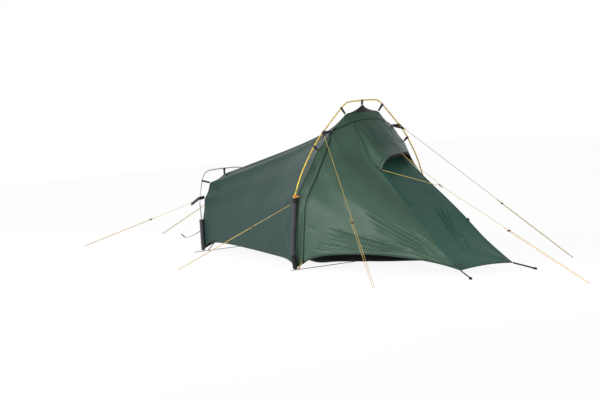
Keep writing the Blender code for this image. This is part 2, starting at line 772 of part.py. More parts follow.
def zip_slider(place, across, outward):
    made = bmesh.new()
    bmesh.ops.create_cube(made, size=1.0)
    bmesh.ops.scale(made, vec=SLIDER, verts=made.verts)
    mesh = bpy.data.meshes.new("zip_slider")
    made.to_mesh(mesh)
    made.free()
    obj = add_object("zip_slider", mesh, plastic)
    obj.matrix_world = axes_at(place, across, outward, across.cross(outward))
    edges = obj.modifiers.new("edges", "BEVEL")
    edges.width = SLIDER[1] * 0.3
    edges.segments = 2


def zip_pull(place, across, up):
    """A flat pull that hangs in front of the slider and swings out."""
    outline = [(-0.0030, 0.0), (-0.0040, -0.019), (-0.0020, -0.022), (0.0020, -0.022), (0.0040, -0.019), (0.0030, 0.0)]
    slot = [(-0.0018, -0.014), (-0.0018, -0.018), (0.0018, -0.018), (0.0018, -0.014)]
    obj = flat_piece("zip_pull", [outline, slot], WEBBING, plastic)
    obj.matrix_world = axes_at(place, across, up, across.cross(up))


zip_tape()
zip_across, zip_outward = zip_frame(zip_up)
slider_lift = tape_lift + WEBBING / 2 + 2.6 * CLEARANCE + SLIDER[1] / 2
slider_place = zip_foot + zip_up * SLIDER_REST + zip_outward * slider_lift
pull_place = slider_place + zip_outward * (SLIDER[1] / 2 + CLEARANCE + WEBBING / 2)
zip_slider(slider_place, zip_across, zip_outward)
zip_pull(pull_place, zip_across, zip_up)


# Clips: each is a tape from the cloth's edge round the pole and back

def clip(name, cloth, pole_place, along, width, pole_radius, tab=None):
    """The cloth's edge and the pole's centre, and the tip of the guy tab that some clips have."""
    inward = cloth - pole_place
    drift = along * inward.dot(along)
    inward -= drift
    reach = inward.length - FABRIC
    inward.normalize()
    across = along.cross(inward)
    bend = pole_radius + WEBBING / 2 + 2 * CLEARANCE

    def radial(degrees):
        return inward * math.cos(math.radians(degrees)) + across * math.sin(math.radians(degrees))

    turns = list(range(60, 301, 30))
    cloth_end = pole_place + drift + inward * reach
    if tab is None:
        path = [pole_place + radial(a) * bend for a in turns]
    else:
        out = tab - pole_place
        angle = math.degrees(math.atan2(out.dot(across), out.dot(inward))) % 360
        beside = radial(angle + 90) * WEBBING * 1.15
        path = [pole_place + radial(a) * bend for a in turns if a < angle - 25]
        path += [tab - beside, tab + out.normalized() * WEBBING * 0.7, tab + beside]
        after = [a for a in turns if a > angle + 25] or [min(335, angle + 35)]
        path += [pole_place + radial(a) * bend for a in after]
    return strap(name, [cloth_end + across * WEBBING, *path, cloth_end - across * WEBBING], along, width, black)


def hoop_clips():
    clip("main_clip_top", main_edge[0], *crown_of(main_line), CLIP_WIDTH, MAIN_POLE_RADIUS)
    clip("rear_clip_top", rear_edge[0], *crown_of(rear_line), CLIP_WIDTH, REAR_POLE_RADIUS)
    main_places = [MAIN_ROWS[0], YOKE_ROWS, YOKE_ROWS + MAIN_ROWS[2]]
    rear_places = [REAR_ROWS[0], REAR_ROWS[0] + REAR_ROWS[1]]
    for side, word in SIDES:
        high, guy, low = [on_hoop(main_line, height, side) for height in MAIN_CLIPS]
        cloth = [on_side(main_edge[place], side) for place in main_places]
        clip(f"main_clip_high_{word}", cloth[0], *high, CLIP_WIDTH, MAIN_POLE_RADIUS)
        tab = tab_tip(guy[0], pegs[f"upper_{word}"], GUY_TAB)
        line_starts[f"upper_{word}"] = tab
        clip(f"main_clip_guy_{word}", cloth[1], *guy, GUY_CLIP_WIDTH, MAIN_POLE_RADIUS, tab)
        clip(f"main_clip_low_{word}", cloth[2], *low, CLIP_WIDTH, MAIN_POLE_RADIUS)
        rear_high, rear_mid = [on_hoop(rear_line, height, side) for height in REAR_CLIPS]
        cloth = [on_side(rear_edge[place], side) for place in rear_places]
        tabs = {"high": None, "mid": None}
        if side == NEAR:
            tabs["mid"] = tab_tip(rear_mid[0], pegs["rear_near"], REAR_GUY_TAB)
            line_starts["rear_near"] = tabs["mid"]
        else:
            tabs["high"] = tab_tip(rear_high[0], pegs["rear_far"], GUY_TAB)
            line_starts["rear_far"] = tabs["high"]
        clip(f"rear_clip_high_{word}", cloth[0], *rear_high, CLIP_WIDTH, REAR_POLE_RADIUS, tabs["high"])
        clip(f"rear_clip_mid_{word}", cloth[1], *rear_mid, CLIP_WIDTH, REAR_POLE_RADIUS, tabs["mid"])


hoop_clips()


# Ground bands: flat webbing from foot to foot, with a peg hole past each foot

def ground_band(name, x, foot, tail):
    half = BAND_WIDTH / 2
    end = foot + tail - half
    outline = [(half * math.cos(math.radians(a)), end + half * math.sin(math.radians(a))) for a in range(0, 181, 30)]
    outline += [(-px, -py) for px, py in outline]
    holes = [circle((0, side * end), PEG_HOLE, 10) for side in (NEAR, FAR)]
    obj = flat_piece(name, [outline, *holes], BAND_THICKNESS, black)
    obj.location = (x, 0.0, BAND_THICKNESS / 2)
    return obj


def hem_strap(side):
    """Webbing from the rear band up to the body's hem."""
    hem = body_grid[-1]
    column = min(range(len(hem)), key=lambda index: abs(BODY_HEM[index][0] - HEM_STRAP_SHARE))
    top = hem[column] - Vector((0, 0, FABRIC + 3 * CLEARANCE))
    foot_y = -REAR_PROFILE[0][0] + SLEEVE_WIDTH + STRAP_WIDTH / 2
    low = Vector((-BODY_LENGTH + BAND_WIDTH * 0.3, foot_y, BAND_THICKNESS / 2))
    turn = Vector((-BODY_LENGTH + BAND_WIDTH * 0.8, foot_y, BAND_THICKNESS * 1.5))
    path = [on_side(point, side) for point in (low, turn, top)]
    return strap(f"hem_strap_{side}", path, Vector((0, 1, 0)), STRAP_WIDTH, black)


ground_band("main_ground_band", 0.0, MAIN_PROFILE[0][0], MAIN_BAND_TAIL)
rear_band = ground_band("rear_ground_band", -BODY_LENGTH, REAR_PROFILE[0][0], REAR_BAND_TAIL)
joined(meshed(rear_band, black), [hem_strap(side) for side, _ in SIDES])


# Webbing loops at the front corners and at the door's foot, and the tail of the rear sleeve's webbing

def loop_strap(name, start, end, width, radius, finish):
    """Webbing on its edge from start to a round loop at end, sewn back on itself."""
    run = (end - start).normalized()
    side = Vector((-run.y, run.x, 0.0)).normalized()
    centre = end - run * radius
    neck = centre - run * radius * 2.4
    path = [start + side * WEBBING, neck + side * WEBBING]
    path += [centre + run * math.cos(math.radians(a)) * radius + side * math.sin(math.radians(a)) * radius
             for a in range(120, -121, -30)]
    path.append(neck - side * WEBBING)
    return strap(name, path, run.cross(side).normalized(), width, finish)


def front_straps():
    for side, word in SIDES:
        corner = on_side(front_corner, side)
        toe = Vector((FRONT_TOE[0], side * FRONT_TOE[1], STRAP_WIDTH * 0.7))
        start = corner + (toe - corner).normalized() * CLEARANCE
        loop_strap(f"front_strap_{word}", start, toe, STRAP_WIDTH, LOOP_RADIUS, black)


def rear_tail():
    """A stiff webbing tail that leaves the near rear sleeve and turns up at its end."""
    centre, along = on_hoop(rear_line, REAR_TAIL_HEIGHT, NEAR)
    seat = SLEEVE_DEPTH / 2 + CLEARANCE + 0.0002
    start = Vector((centre.x - seat, centre.y, REAR_TAIL_HEIGHT))
    tail = [near_point(behind - BODY_LENGTH, y, z) for behind, y, z in REAR_TAIL]
    path = smooth_through([start, *tail], 0.03)
    return strap("rear_pull_strap", path, Vector((0, 1, 0)), STRAP_WIDTH, black)


front_straps()
rear_tail()
door_toe = Vector((*DOOR_TOE, STRAP_WIDTH / 2))
door_loop_start = zip_foot + (door_toe - zip_foot).normalized() * 2 * WEBBING
loop_strap("door_hem_loop", door_loop_start, door_toe, STRAP_WIDTH / 2, LOOP_RADIUS * 0.7, yellow)


# Inner tent: a tray floor, and a canopy that hangs from the fly's ridge with an open doorway

def floor_rows():
    """The floor hangs a little off the ground along its near edge and lies on it everywhere else."""
    base = BAND_THICKNESS + FABRIC / 2 + CLEARANCE
    rows = []
    for x in FLOOR_STATIONS:
        near_y, far_y = between(FLOOR_NEAR, x), between(FLOOR_FAR, x)
        row = []
        for column in range(FLOOR_COLUMNS + 1):
            t = column / FLOOR_COLUMNS
            row.append(Vector((x, near_y + (far_y - near_y) * t, base + between(FLOOR_LIFT, x) * (1 - t) ** 1.2)))
        rows.append(row)
    return rows


def edge_loop(rows):
    """The grid's outer points: along the near edge to the front, back along the far edge, and across the rear."""
    return ([row[0] for row in rows] + rows[-1][1:-1] + [row[-1] for row in reversed(rows)]
            + rows[0][-2:0:-1])


def shell_from(name, made):
    bmesh.ops.recalc_face_normals(made, faces=made.faces)
    mesh = bpy.data.meshes.new(name)
    made.to_mesh(mesh)
    made.free()
    obj = add_object(name, mesh, dark)
    shell = obj.modifiers.new("thickness", "SOLIDIFY")
    shell.thickness = FABRIC
    shell.offset = 0.0
    return obj


def inner_floor(rows):
    made = bmesh.new()
    grid = [[made.verts.new(point) for point in row] for row in rows]
    for row, following in zip(grid, grid[1:]):
        for column in range(FLOOR_COLUMNS):
            made.faces.new((row[column], row[column + 1], following[column + 1], following[column]))
    edge = edge_loop(grid)
    rim = [made.verts.new(vertex.co + Vector((0, 0, TRAY_WALL))) for vertex in edge]
    for index in range(len(edge)):
        following = (index + 1) % len(edge)
        made.faces.new((edge[index], edge[following], rim[following], rim[index]))
    return shell_from("inner_floor", made)


def fly_ridge(x):
    t = (x - rear_edge[0].x) / (main_edge[0].x - rear_edge[0].x)
    return ridge_height(t, rear_edge[0].z, main_edge[0].z)


def inner_canopy(rows):
    """Walls from the tray's rim up to a ridge under the fly's; one bay of the diagonal front wall is open."""
    made = bmesh.new()
    columns = []
    edge = edge_loop(rows)
    for point in edge:
        base = point + Vector((0, 0, TRAY_WALL + FABRIC))
        top_x = min(INNER_RIDGE[1], max(INNER_RIDGE[0], point.x))
        top = Vector((top_x, 0.0, fly_ridge(top_x) - INNER_DROP))
        column = []
        for level in range(CANOPY_LEVELS + 1):
            w = level / CANOPY_LEVELS
            place = base.lerp(top, w ** 1.7)
            place.z = base.z + (top.z - base.z) * w
            column.append(made.verts.new(place))
        columns.append(column)
    for index, column in enumerate(columns):
        following = columns[(index + 1) % len(columns)]
        near_edge = index < len(rows) - 1
        in_doorway = near_edge and DOORWAY_STATIONS[0] <= FLOOR_STATIONS[index] < DOORWAY_STATIONS[1]
        for level in range(CANOPY_LEVELS):
            if not (in_doorway and DOORWAY_LEVELS[0] <= level < DOORWAY_LEVELS[1]):
                made.faces.new((column[level], following[level], following[level + 1], column[level + 1]))
    bmesh.ops.remove_doubles(made, verts=made.verts, dist=0.0005)
    return shell_from("inner_canopy", made)


def hanger(index, share):
    """An elastic from the canopy's ridge to the fly's."""
    x = rear_edge[0].x + share * (main_edge[0].x - rear_edge[0].x)
    top = fly_ridge(x) - FABRIC - HANG_RADIUS - CLEARANCE
    low = fly_ridge(x) - INNER_DROP - HANG_RADIUS * 2
    return meshed(cord(f"hanger_{index}", [Vector((x, 0, low)), Vector((x, 0, top))], HANG_RADIUS, dark), dark)


floor_grid = floor_rows()
inner_floor(floor_grid)
joined(inner_canopy(floor_grid), [hanger(index, share) for index, share in enumerate(HANG_SHARES)])


# Guy lines: from a tab to the peg, round it and back up to the tensioner

def seated_start(tip, toward, facing):
    """The start of a line that lies a clearance off the end of its tab."""
    run = (toward - tip).normalized()
    slant = math.tan(math.acos(min(1.0, abs(run.dot(facing)))))
    return tip + run * (WEBBING * 1.5 + CLEARANCE + CORD_RADIUS * min(1.0, slant))


def guy_line(word, start, peg, share):
    """One cord: the strand to the peg, the turn round it and the strand back to the tensioner."""
    run = (peg - start).normalized()
    side = run.cross(Vector((0, 0, 1))).normalized()
    turn = STRAND_GAP / 2
    centre = peg - run * turn + side * turn
    path = [start, centre - side * turn]
    path += [centre - side * turn * math.cos(math.radians(a)) + run * turn * math.sin(math.radians(a))
             for a in range(30, 180, 30)]
    path += [centre + side * turn, start.lerp(peg, share) + side * STRAND_GAP]
    cord(f"guy_line_{word}", path, CORD_RADIUS, guy_yellow)
    tensioner(f"tensioner_{word}", start.lerp(peg, share + 0.03) + side * turn, run, side)


def tensioner(name, place, run, side):
    """A small runner with a hole for each strand."""
    length, height, thickness = TENSIONER
    half, bend = length / 2, height / 2
    outline = [(half - bend + bend * math.cos(math.radians(a)), bend * math.sin(math.radians(a)))
               for a in range(-90, 91, 45)]
    outline += [(-x, -y) for x, y in outline]
    holes = [circle((turn * STRAND_GAP / 2, 0.0), TENSIONER_HOLE, 8) for turn in (-1, 1)]
    obj = flat_piece(name, [outline, *holes], thickness, plastic)
    obj.matrix_world = axes_at(place, side, run.cross(side), run)


def bridle():
    """The cord from the hood's near corner through the ring and up to the far half of its rim."""
    apex = Vector(BRIDLE_APEX)
    rim = hood_grid[-1]
    near_tip, far_tip = [rim[round(share * HOOD_COLUMNS)] for share in BRIDLE_RIM_SHARES]
    near_run, far_run = (near_tip - apex).normalized(), (far_tip - apex).normalized()
    forward = -(near_run + far_run).normalized()
    sideways = (far_run - near_run).normalized()
    centre = apex - forward * BRIDLE_BEND
    path = [centre + (forward * math.cos(math.radians(a)) + sideways * math.sin(math.radians(a))) * BRIDLE_BEND
            for a in range(-70, 71, 28)]
    cord("hood_bridle", [near_tip, *path, far_tip], CORD_RADIUS, guy_yellow)
    return apex, forward, sideways


def bridle_ring(apex, forward, sideways):
    """A closed ring that the bridle runs through."""
    bpy.ops.mesh.primitive_torus_add(major_radius=RING_RADIUS, minor_radius=RING_WIRE,
                                     major_segments=20, minor_segments=8)
    ring = bpy.context.object
    ring.name = "bridle_ring"
    ring.data.materials.append(plastic)
    for collection in list(ring.users_collection):
        collection.objects.unlink(ring)
    tent.objects.link(ring)
    centre = apex + forward * (RING_RADIUS - RING_WIRE - CORD_RADIUS - CLEARANCE)
    ring.matrix_world = axes_at(centre, forward, sideways.cross(forward), sideways)
    return centre


for side, word in SIDES:
    name = f"upper_{word}"
    facing = on_hoop(main_line, MAIN_CLIPS[1], side)[1]
    start = seated_start(line_starts[name], pegs[name], facing.cross(Vector((1, 0, 0))).normalized())
    guy_line(name, start, pegs[name], TENSIONER_SHARES["upper"])
for name in ("rear_near", "rear_far"):
    run = (pegs[name] - line_starts[name]).normalized()
    guy_line(name, seated_start(line_starts[name], pegs[name], run), pegs[name], TENSIONER_SHARES[name])
lower_run = (pegs["lower_near"] - line_starts["lower_near"]).normalized()
guy_line("lower_near", line_starts["lower_near"] + lower_run * CLEARANCE, pegs["lower_near"], TENSIONER_SHARES["lower"])
ring_centre = bridle_ring(*bridle())
front_run = (pegs["front"] - ring_centre).normalized()
guy_line("front", ring_centre + front_run * (RING_RADIUS + RING_WIRE + CLEARANCE), pegs["front"],
         TENSIONER_SHARES["front"])


# The origin: on the ground under the middle of the tent without its guy lines

def centre_tent():
    bpy.context.view_layer.update()
    graph = bpy.context.evaluated_depsgraph_get()
    reach = []
    for obj in tent.objects:
        if not obj.name.startswith(("guy_line", "tensioner", "hood_bridle", "bridle_ring")):
            evaluated = obj.evaluated_get(graph)
            reach += [(obj.matrix_world @ Vector(corner)).x for corner in evaluated.bound_box]
    origin = bpy.data.objects.new("tent_origin", None)
    guides.objects.link(origin)
    origin.location.x = -(min(reach) + max(reach)) / 2
    for obj in [*tent.objects, *guides.objects]:
        if obj is not origin:
            obj.parent = origin


centre_tent()
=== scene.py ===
import json
import math
from contextlib import contextmanager

import bmesh
import bpy
import numpy as np
from mathutils import Matrix, Vector, noise
from mathutils.bvhtree import BVHTree
from mathutils.kdtree import KDTree

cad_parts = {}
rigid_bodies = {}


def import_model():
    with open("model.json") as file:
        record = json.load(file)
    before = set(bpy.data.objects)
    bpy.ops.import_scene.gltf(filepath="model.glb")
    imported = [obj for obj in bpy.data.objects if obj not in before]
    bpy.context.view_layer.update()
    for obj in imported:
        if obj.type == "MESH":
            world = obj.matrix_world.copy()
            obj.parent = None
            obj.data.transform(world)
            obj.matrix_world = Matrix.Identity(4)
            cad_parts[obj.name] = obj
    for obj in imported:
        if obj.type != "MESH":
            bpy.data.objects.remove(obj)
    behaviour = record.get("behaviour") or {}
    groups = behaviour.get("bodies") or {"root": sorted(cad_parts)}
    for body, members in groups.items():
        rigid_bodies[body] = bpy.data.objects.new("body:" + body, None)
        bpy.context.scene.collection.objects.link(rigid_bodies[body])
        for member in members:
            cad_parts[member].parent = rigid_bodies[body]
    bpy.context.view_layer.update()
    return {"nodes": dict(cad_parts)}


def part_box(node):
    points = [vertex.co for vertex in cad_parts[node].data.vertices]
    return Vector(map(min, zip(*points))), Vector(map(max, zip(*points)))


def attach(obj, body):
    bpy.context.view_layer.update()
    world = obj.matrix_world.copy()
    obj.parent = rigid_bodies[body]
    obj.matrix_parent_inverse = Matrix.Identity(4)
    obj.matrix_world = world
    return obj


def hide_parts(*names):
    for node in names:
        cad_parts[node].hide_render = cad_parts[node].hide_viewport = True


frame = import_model()
print("frame loaded:", len(frame["nodes"]), "nodes")

# hoopX is where the main hoop stands; the points below are given from there, as in the part's source
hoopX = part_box("main_ground_band")[0].x + 0.010


def at(x, y, z):
    return Vector((hoopX + x, y, z))


# camera and light

view = {
    "place": (11.8097, -8.8854, 1.7142),
    "heading": math.radians(-54.504),
    "tilt": math.radians(-4.956),
    "roll": math.radians(-3.326),
    "lens": 132.81,
}

studio = {
    "floorSide": 18.0,
    "floorHeight": -0.0006,
    "worldStrength": 0.24,
    # power, place, aim and size of a big soft box on the near side, a little behind the main hoop
    "keyBox": (168, (-1.4, -4.7, 1.5), (0.0, 0, 0.35), 3.0),
    # the same of a small one in front, near the ground, for the toe of the fly
    "fillBox": (25, (3.1, -0.9, 0.35), (1.0, 0, 0.25), 1.0),
    # power, direction, colour and softness of a cool sun low on the far side, for the hood's pale edge
    "rimSun": (0.7, (0.30, 0.92, 0.06), (0.86, 0.93, 1.0), 25),
    "floorGlow": 1.17,
    "floorGlowShare": 0.78,
}


def addCamera():
    forward = Vector((math.sin(view["heading"]) * math.cos(view["tilt"]),
                      math.cos(view["heading"]) * math.cos(view["tilt"]), math.sin(view["tilt"])))
    right = Vector((math.cos(view["heading"]), -math.sin(view["heading"]), 0))
    up = right.cross(forward)
    turnedRight = right * math.cos(view["roll"]) + up * math.sin(view["roll"])
    turnedUp = up * math.cos(view["roll"]) - right * math.sin(view["roll"])
    data = bpy.data.cameras.new("camera")
    data.sensor_width = 36
    data.lens = view["lens"]
    data.clip_end = 200
    camera = bpy.data.objects.new("camera", data)
    camera.matrix_world = (Matrix.Translation(at(*view["place"]))
                           @ Matrix((turnedRight, turnedUp, -forward)).transposed().to_4x4())
    bpy.context.scene.collection.objects.link(camera)
    bpy.context.scene.camera = camera


def addLamp(name, light, place, comingFrom):
    lamp = bpy.data.objects.new(name, light)
    lamp.location = place
    lamp.rotation_mode = "QUATERNION"
    lamp.rotation_quaternion = comingFrom.to_track_quat("Z", "Y")
    bpy.context.scene.collection.objects.link(lamp)


def addSun(name):
    light = bpy.data.lights.new(name, "SUN")
    light.energy, comingFrom, light.color, softness = studio[name]
    light.angle = math.radians(softness)
    addLamp(name, light, (0, 0, 0), Vector(comingFrom))


def addSoftBox(name):
    light = bpy.data.lights.new(name, "AREA")
    light.energy, place, aim, light.size = studio[name]
    light.shape = "SQUARE"
    addLamp(name, light, at(*place), at(*place) - at(*aim))


def whiteWhereSeen(tree, shaded, white, output, share):
    # for rays from the camera, through clear parts and off glossy ones, that share of the white shader
    path = tree.nodes.new("ShaderNodeLightPath")
    mix = tree.nodes.new("ShaderNodeMixShader")
    factor = path.outputs["Is Camera Ray"]
    for kind in ("Is Transmission Ray", "Is Glossy Ray"):
        either = tree.nodes.new("ShaderNodeMath")
        either.operation = "MAXIMUM"
        tree.links.new(factor, either.inputs[0])
        tree.links.new(path.outputs[kind], either.inputs[1])
        factor = either.outputs[0]
    part = tree.nodes.new("ShaderNodeMath")
    part.operation = "MULTIPLY"
    part.inputs[1].default_value = share
    tree.links.new(factor, part.inputs[0])
    tree.links.new(part.outputs[0], mix.inputs["Fac"])
    tree.links.new(shaded.outputs[0], mix.inputs[1])
    tree.links.new(white.outputs[0], mix.inputs[2])
    tree.links.new(mix.outputs[0], output.inputs["Surface"])


def addWorld():
    world = bpy.data.worlds.new("studio")
    world.use_nodes = True
    tree = world.node_tree
    background = tree.nodes["Background"]
    background.inputs["Color"].default_value = (0.94, 0.97, 1.0, 1)
    background.inputs["Strength"].default_value = studio["worldStrength"]
    white = tree.nodes.new("ShaderNodeBackground")
    white.inputs["Color"].default_value = (1, 1, 1, 1)
    white.inputs["Strength"].default_value = 1.0
    whiteWhereSeen(tree, background, white, tree.nodes["World Output"], 1.0)
    bpy.context.scene.world = world


def addFloor():
    bpy.ops.mesh.primitive_plane_add(size=studio["floorSide"], location=(0, 0, studio["floorHeight"]))
    floor = bpy.context.object
    floor.name = "floor"
    finish = bpy.data.materials.new("paleFloor")
    finish.use_nodes = True
    tree = finish.node_tree
    shader = tree.nodes["Principled BSDF"]
    shader.inputs["Base Color"].default_value = (0.9, 0.9, 0.9, 1)
    shader.inputs["Roughness"].default_value = 0.9
    glow = tree.nodes.new("ShaderNodeEmission")
    glow.inputs["Strength"].default_value = studio["floorGlow"]
    whiteWhereSeen(tree, shader, glow, tree.nodes["Material Output"], studio["floorGlowShare"])
    floor.data.materials.append(finish)


bpy.ops.object.select_all(action="DESELECT")
addCamera()
addSoftBox("keyBox")
addSoftBox("fillBox")
addSun("rimSun")
addWorld()
addFloor()
bpy.context.scene.view_settings.view_transform = "Standard"
print("camera and studio ready")


# materials

class Finish:
    # a Principled material and short ways to add nodes to it
    def __init__(self, name, roughness, metallic=0.0):
        self.material = bpy.data.materials.new(name)
        self.material.use_nodes = True
        self.tree = self.material.node_tree
        self.shader = self.tree.nodes["Principled BSDF"]
        self.set({"Roughness": roughness, "Metallic": metallic})

    def set(self, values):
        for socket, value in values.items():
            self.shader.inputs[socket].default_value = value

    def feed(self, socket, source):
        self.join(source, self.shader.inputs[socket])

    def add(self, kind, inputs=None, **settings):
        made = self.tree.nodes.new("ShaderNode" + kind)
        for key, value in settings.items():
            setattr(made, key, value)
        for socket, value in (inputs or {}).items():
            made.inputs[socket].default_value = value
        return made

    def join(self, source, target):
        self.tree.links.new(source, target)

    def math(self, operation, first, second=None):
        made = self.add("Math", operation=operation)
        for slot, value in zip(made.inputs, (first, second)):
            if isinstance(value, (int, float)):
                slot.default_value = value
            elif value is not None:
                self.join(value, slot)
        return made.outputs[0]

    def coordinates(self, kind, scale=(1, 1, 1)):
        mapping = self.add("Mapping", {"Scale": scale})
        self.join(self.add("TexCoord").outputs[kind], mapping.inputs["Vector"])
        return mapping.outputs[0]

    def axes(self, scale):
        # the piece's cloth coordinates along and across, scaled
        split = self.add("SeparateXYZ")
        self.join(self.coordinates("UV", scale), split.inputs[0])
        return split.outputs["X"], split.outputs["Y"]

    def noise(self, kind, scale, detail, stretch=(1, 1, 1)):
        made = self.add("TexNoise", {"Scale": scale, "Detail": detail})
        self.join(self.coordinates(kind, stretch), made.inputs["Vector"])
        return made.outputs["Fac"]

    def range(self, source, low, high):
        made = self.add("MapRange", {"To Min": low, "To Max": high})
        self.join(source, made.inputs["Value"])
        return made.outputs["Result"]

    def colourBetween(self, factor, first, second, low=0.3, high=0.7):
        ramp = self.add("ValToRGB")
        for stop, position, colour in zip(ramp.color_ramp.elements, (low, high), (first, second)):
            stop.position = position
            stop.color = (*colour, 1)
        self.join(factor, ramp.inputs["Fac"])
        return ramp.outputs["Color"]

    def tinted(self, base, factor, colour, blend="MIX"):
        mix = self.add("MixRGB", {"Color2": (*colour, 1)}, blend_type=blend)
        self.join(factor, mix.inputs["Fac"])
        self.join(base, mix.inputs["Color1"])
        return mix.outputs["Color"]

    def bump(self, height, strength, distance, under=None):
        made = self.add("Bump", {"Strength": strength, "Distance": distance})
        self.join(height, made.inputs["Height"])
        if under is not None:
            self.join(under, made.inputs["Normal"])
        return made.outputs["Normal"]


def shade(colour, factor):
    return tuple(min(1.0, c * factor) for c in colour)


def threadGrid(finish, spacing, width):
    # 1 on the threads of a square grid in the piece's own cloth coordinates, 0 between them
    lines = []
    for axis in finish.axes((1 / spacing,) * 3):
        centred = finish.math("SUBTRACT", finish.math("FRACT", axis), 0.5)
        ramp = finish.add("MapRange", {"From Min": 0.5 - width, "From Max": 0.5 - width * 0.4},
                          interpolation_type="SMOOTHSTEP")
        finish.join(finish.math("ABSOLUTE", centred), ramp.inputs["Value"])
        lines.append(ramp.outputs["Result"])
    return finish.math("MAXIMUM", *lines)


def flyCloth(name, colour, gloss=0.15):
    # coated ripstop: strong threads every 5 mm, slight crinkles and a cool sheen
    finish = Finish(name, 0.42)
    grid = threadGrid(finish, 0.005, 0.09)
    broad = finish.noise("Object", 2.6, 3)
    base = finish.colourBetween(broad, shade(colour, 0.93), shade(colour, 1.07))
    finish.feed("Base Color", finish.tinted(base, finish.math("MULTIPLY", grid, 0.55), (0.86, 0.88, 0.88),
                                            "MULTIPLY"))
    crinkle = finish.noise("UV", 38, 4, (1, 0.45, 1))
    fine = finish.noise("UV", 900, 1)
    normal = finish.bump(crinkle, 0.10, 0.004)
    threads = finish.math("ADD", grid, finish.math("MULTIPLY", fine, 0.5))
    finish.feed("Normal", finish.bump(threads, 0.12, 0.0003, normal))
    finish.feed("Roughness", finish.range(crinkle, 0.32, 0.46))
    finish.set({"Sheen Weight": 0.02, "Sheen Roughness": 0.35, "Sheen Tint": (0.72, 0.85, 0.95, 1),
                "Specular IOR Level": gloss})
    return finish.material


def wovenTape(name, colour, rib=0.0014):
    # webbing and binding: a herringbone of fine ribs, with pale worn threads
    finish = Finish(name, 0.72)
    along, across = finish.axes((1 / rib,) * 3)
    slanted = finish.math("FRACT", finish.math("ADD", across, finish.math("PINGPONG", along, 2.0)))
    threads = finish.math("ABSOLUTE", finish.math("SUBTRACT", slanted, 0.5))
    worn = finish.noise("Object", 260, 3)
    tint = finish.math("ADD", finish.math("MULTIPLY", threads, 0.8), finish.math("MULTIPLY", worn, 0.5))
    base = finish.colourBetween(tint, shade(colour, 0.72), shade(colour, 1.45), 0.15, 0.75)
    finish.feed("Base Color", base)
    finish.feed("Normal", finish.bump(threads, 0.5, 0.0004))
    finish.set({"Sheen Weight": 0.06, "Sheen Roughness": 0.5, "Specular IOR Level": 0.25})
    return finish.material


def braidedCord(name, colour, tracer):
    # a braid of small diamonds, with one pale tracer thread
    finish = Finish(name, 0.55)
    around, along = finish.axes((8, 520, 1))
    one, two = finish.math("ADD", around, along), finish.math("SUBTRACT", around, along)
    diamonds = finish.math("MULTIPLY", *(finish.math("SINE", finish.math("MULTIPLY", turn, 3.14))
                                         for turn in (one, two)))
    base = finish.colourBetween(diamonds, shade(colour, 0.8), shade(colour, 1.12), 0.0, 0.5)
    mark = finish.math("GREATER_THAN", finish.math("FRACT", finish.math("MULTIPLY", one, 0.125)), 0.86)
    finish.feed("Base Color", finish.tinted(base, mark, tracer))
    finish.feed("Normal", finish.bump(diamonds, 0.6, 0.0003))
    return finish.material


def innerCloth(name, colour):
    # thin dark cloth, softly crinkled
    finish = Finish(name, 0.62)
    grid = threadGrid(finish, 0.004, 0.08)
    soft = finish.noise("Object", 9, 4)
    finish.feed("Base Color", finish.colourBetween(soft, shade(colour, 0.75), shade(colour, 1.3)))
    finish.feed("Normal", finish.bump(grid, 0.1, 0.0003, finish.bump(soft, 0.3, 0.01)))
    finish.set({"Sheen Weight": 0.02, "Specular IOR Level": 0.10})
    return finish.material


def insectNet(name, colour):
    # open net: hexagon-like holes left clear between its threads
    finish = Finish(name, 0.8)
    cells = finish.add("TexVoronoi", {"Scale": 650, "Randomness": 0.15}, feature="DISTANCE_TO_EDGE")
    finish.join(finish.coordinates("UV"), cells.inputs["Vector"])
    finish.feed("Alpha", finish.math("LESS_THAN", cells.outputs["Distance"], 0.27))
    soft = finish.noise("Object", 14, 2)
    finish.feed("Base Color", finish.colourBetween(soft, shade(colour, 0.8), shade(colour, 1.3)))
    return finish.material


def anodisedTube(name, colour, dark):
    # drawn aluminium: fine lengthways streaks and a few rubbed places
    finish = Finish(name, 0.28, 0.25)
    finish.feed("Base Color", finish.colourBetween(finish.noise("Object", 34, 4), dark, colour, 0.30, 0.55))
    streaks = finish.noise("Object", 900, 2, (1, 1, 0.06))
    finish.feed("Roughness", finish.range(streaks, 0.2, 0.42))
    finish.feed("Normal", finish.bump(streaks, 0.05, 0.0002))
    return finish.material


def mouldedPlastic(name, colour, roughness=0.4):
    # injection-moulded plastic with a fine grain and scuffed edges
    finish = Finish(name, roughness)
    scuffs = finish.noise("Object", 120, 5)
    finish.feed("Base Color", finish.colourBetween(scuffs, shade(colour, 0.88), shade(colour, 1.15)))
    finish.feed("Normal", finish.bump(finish.noise("Object", 1400, 2), 0.15, 0.0002))
    return finish.material


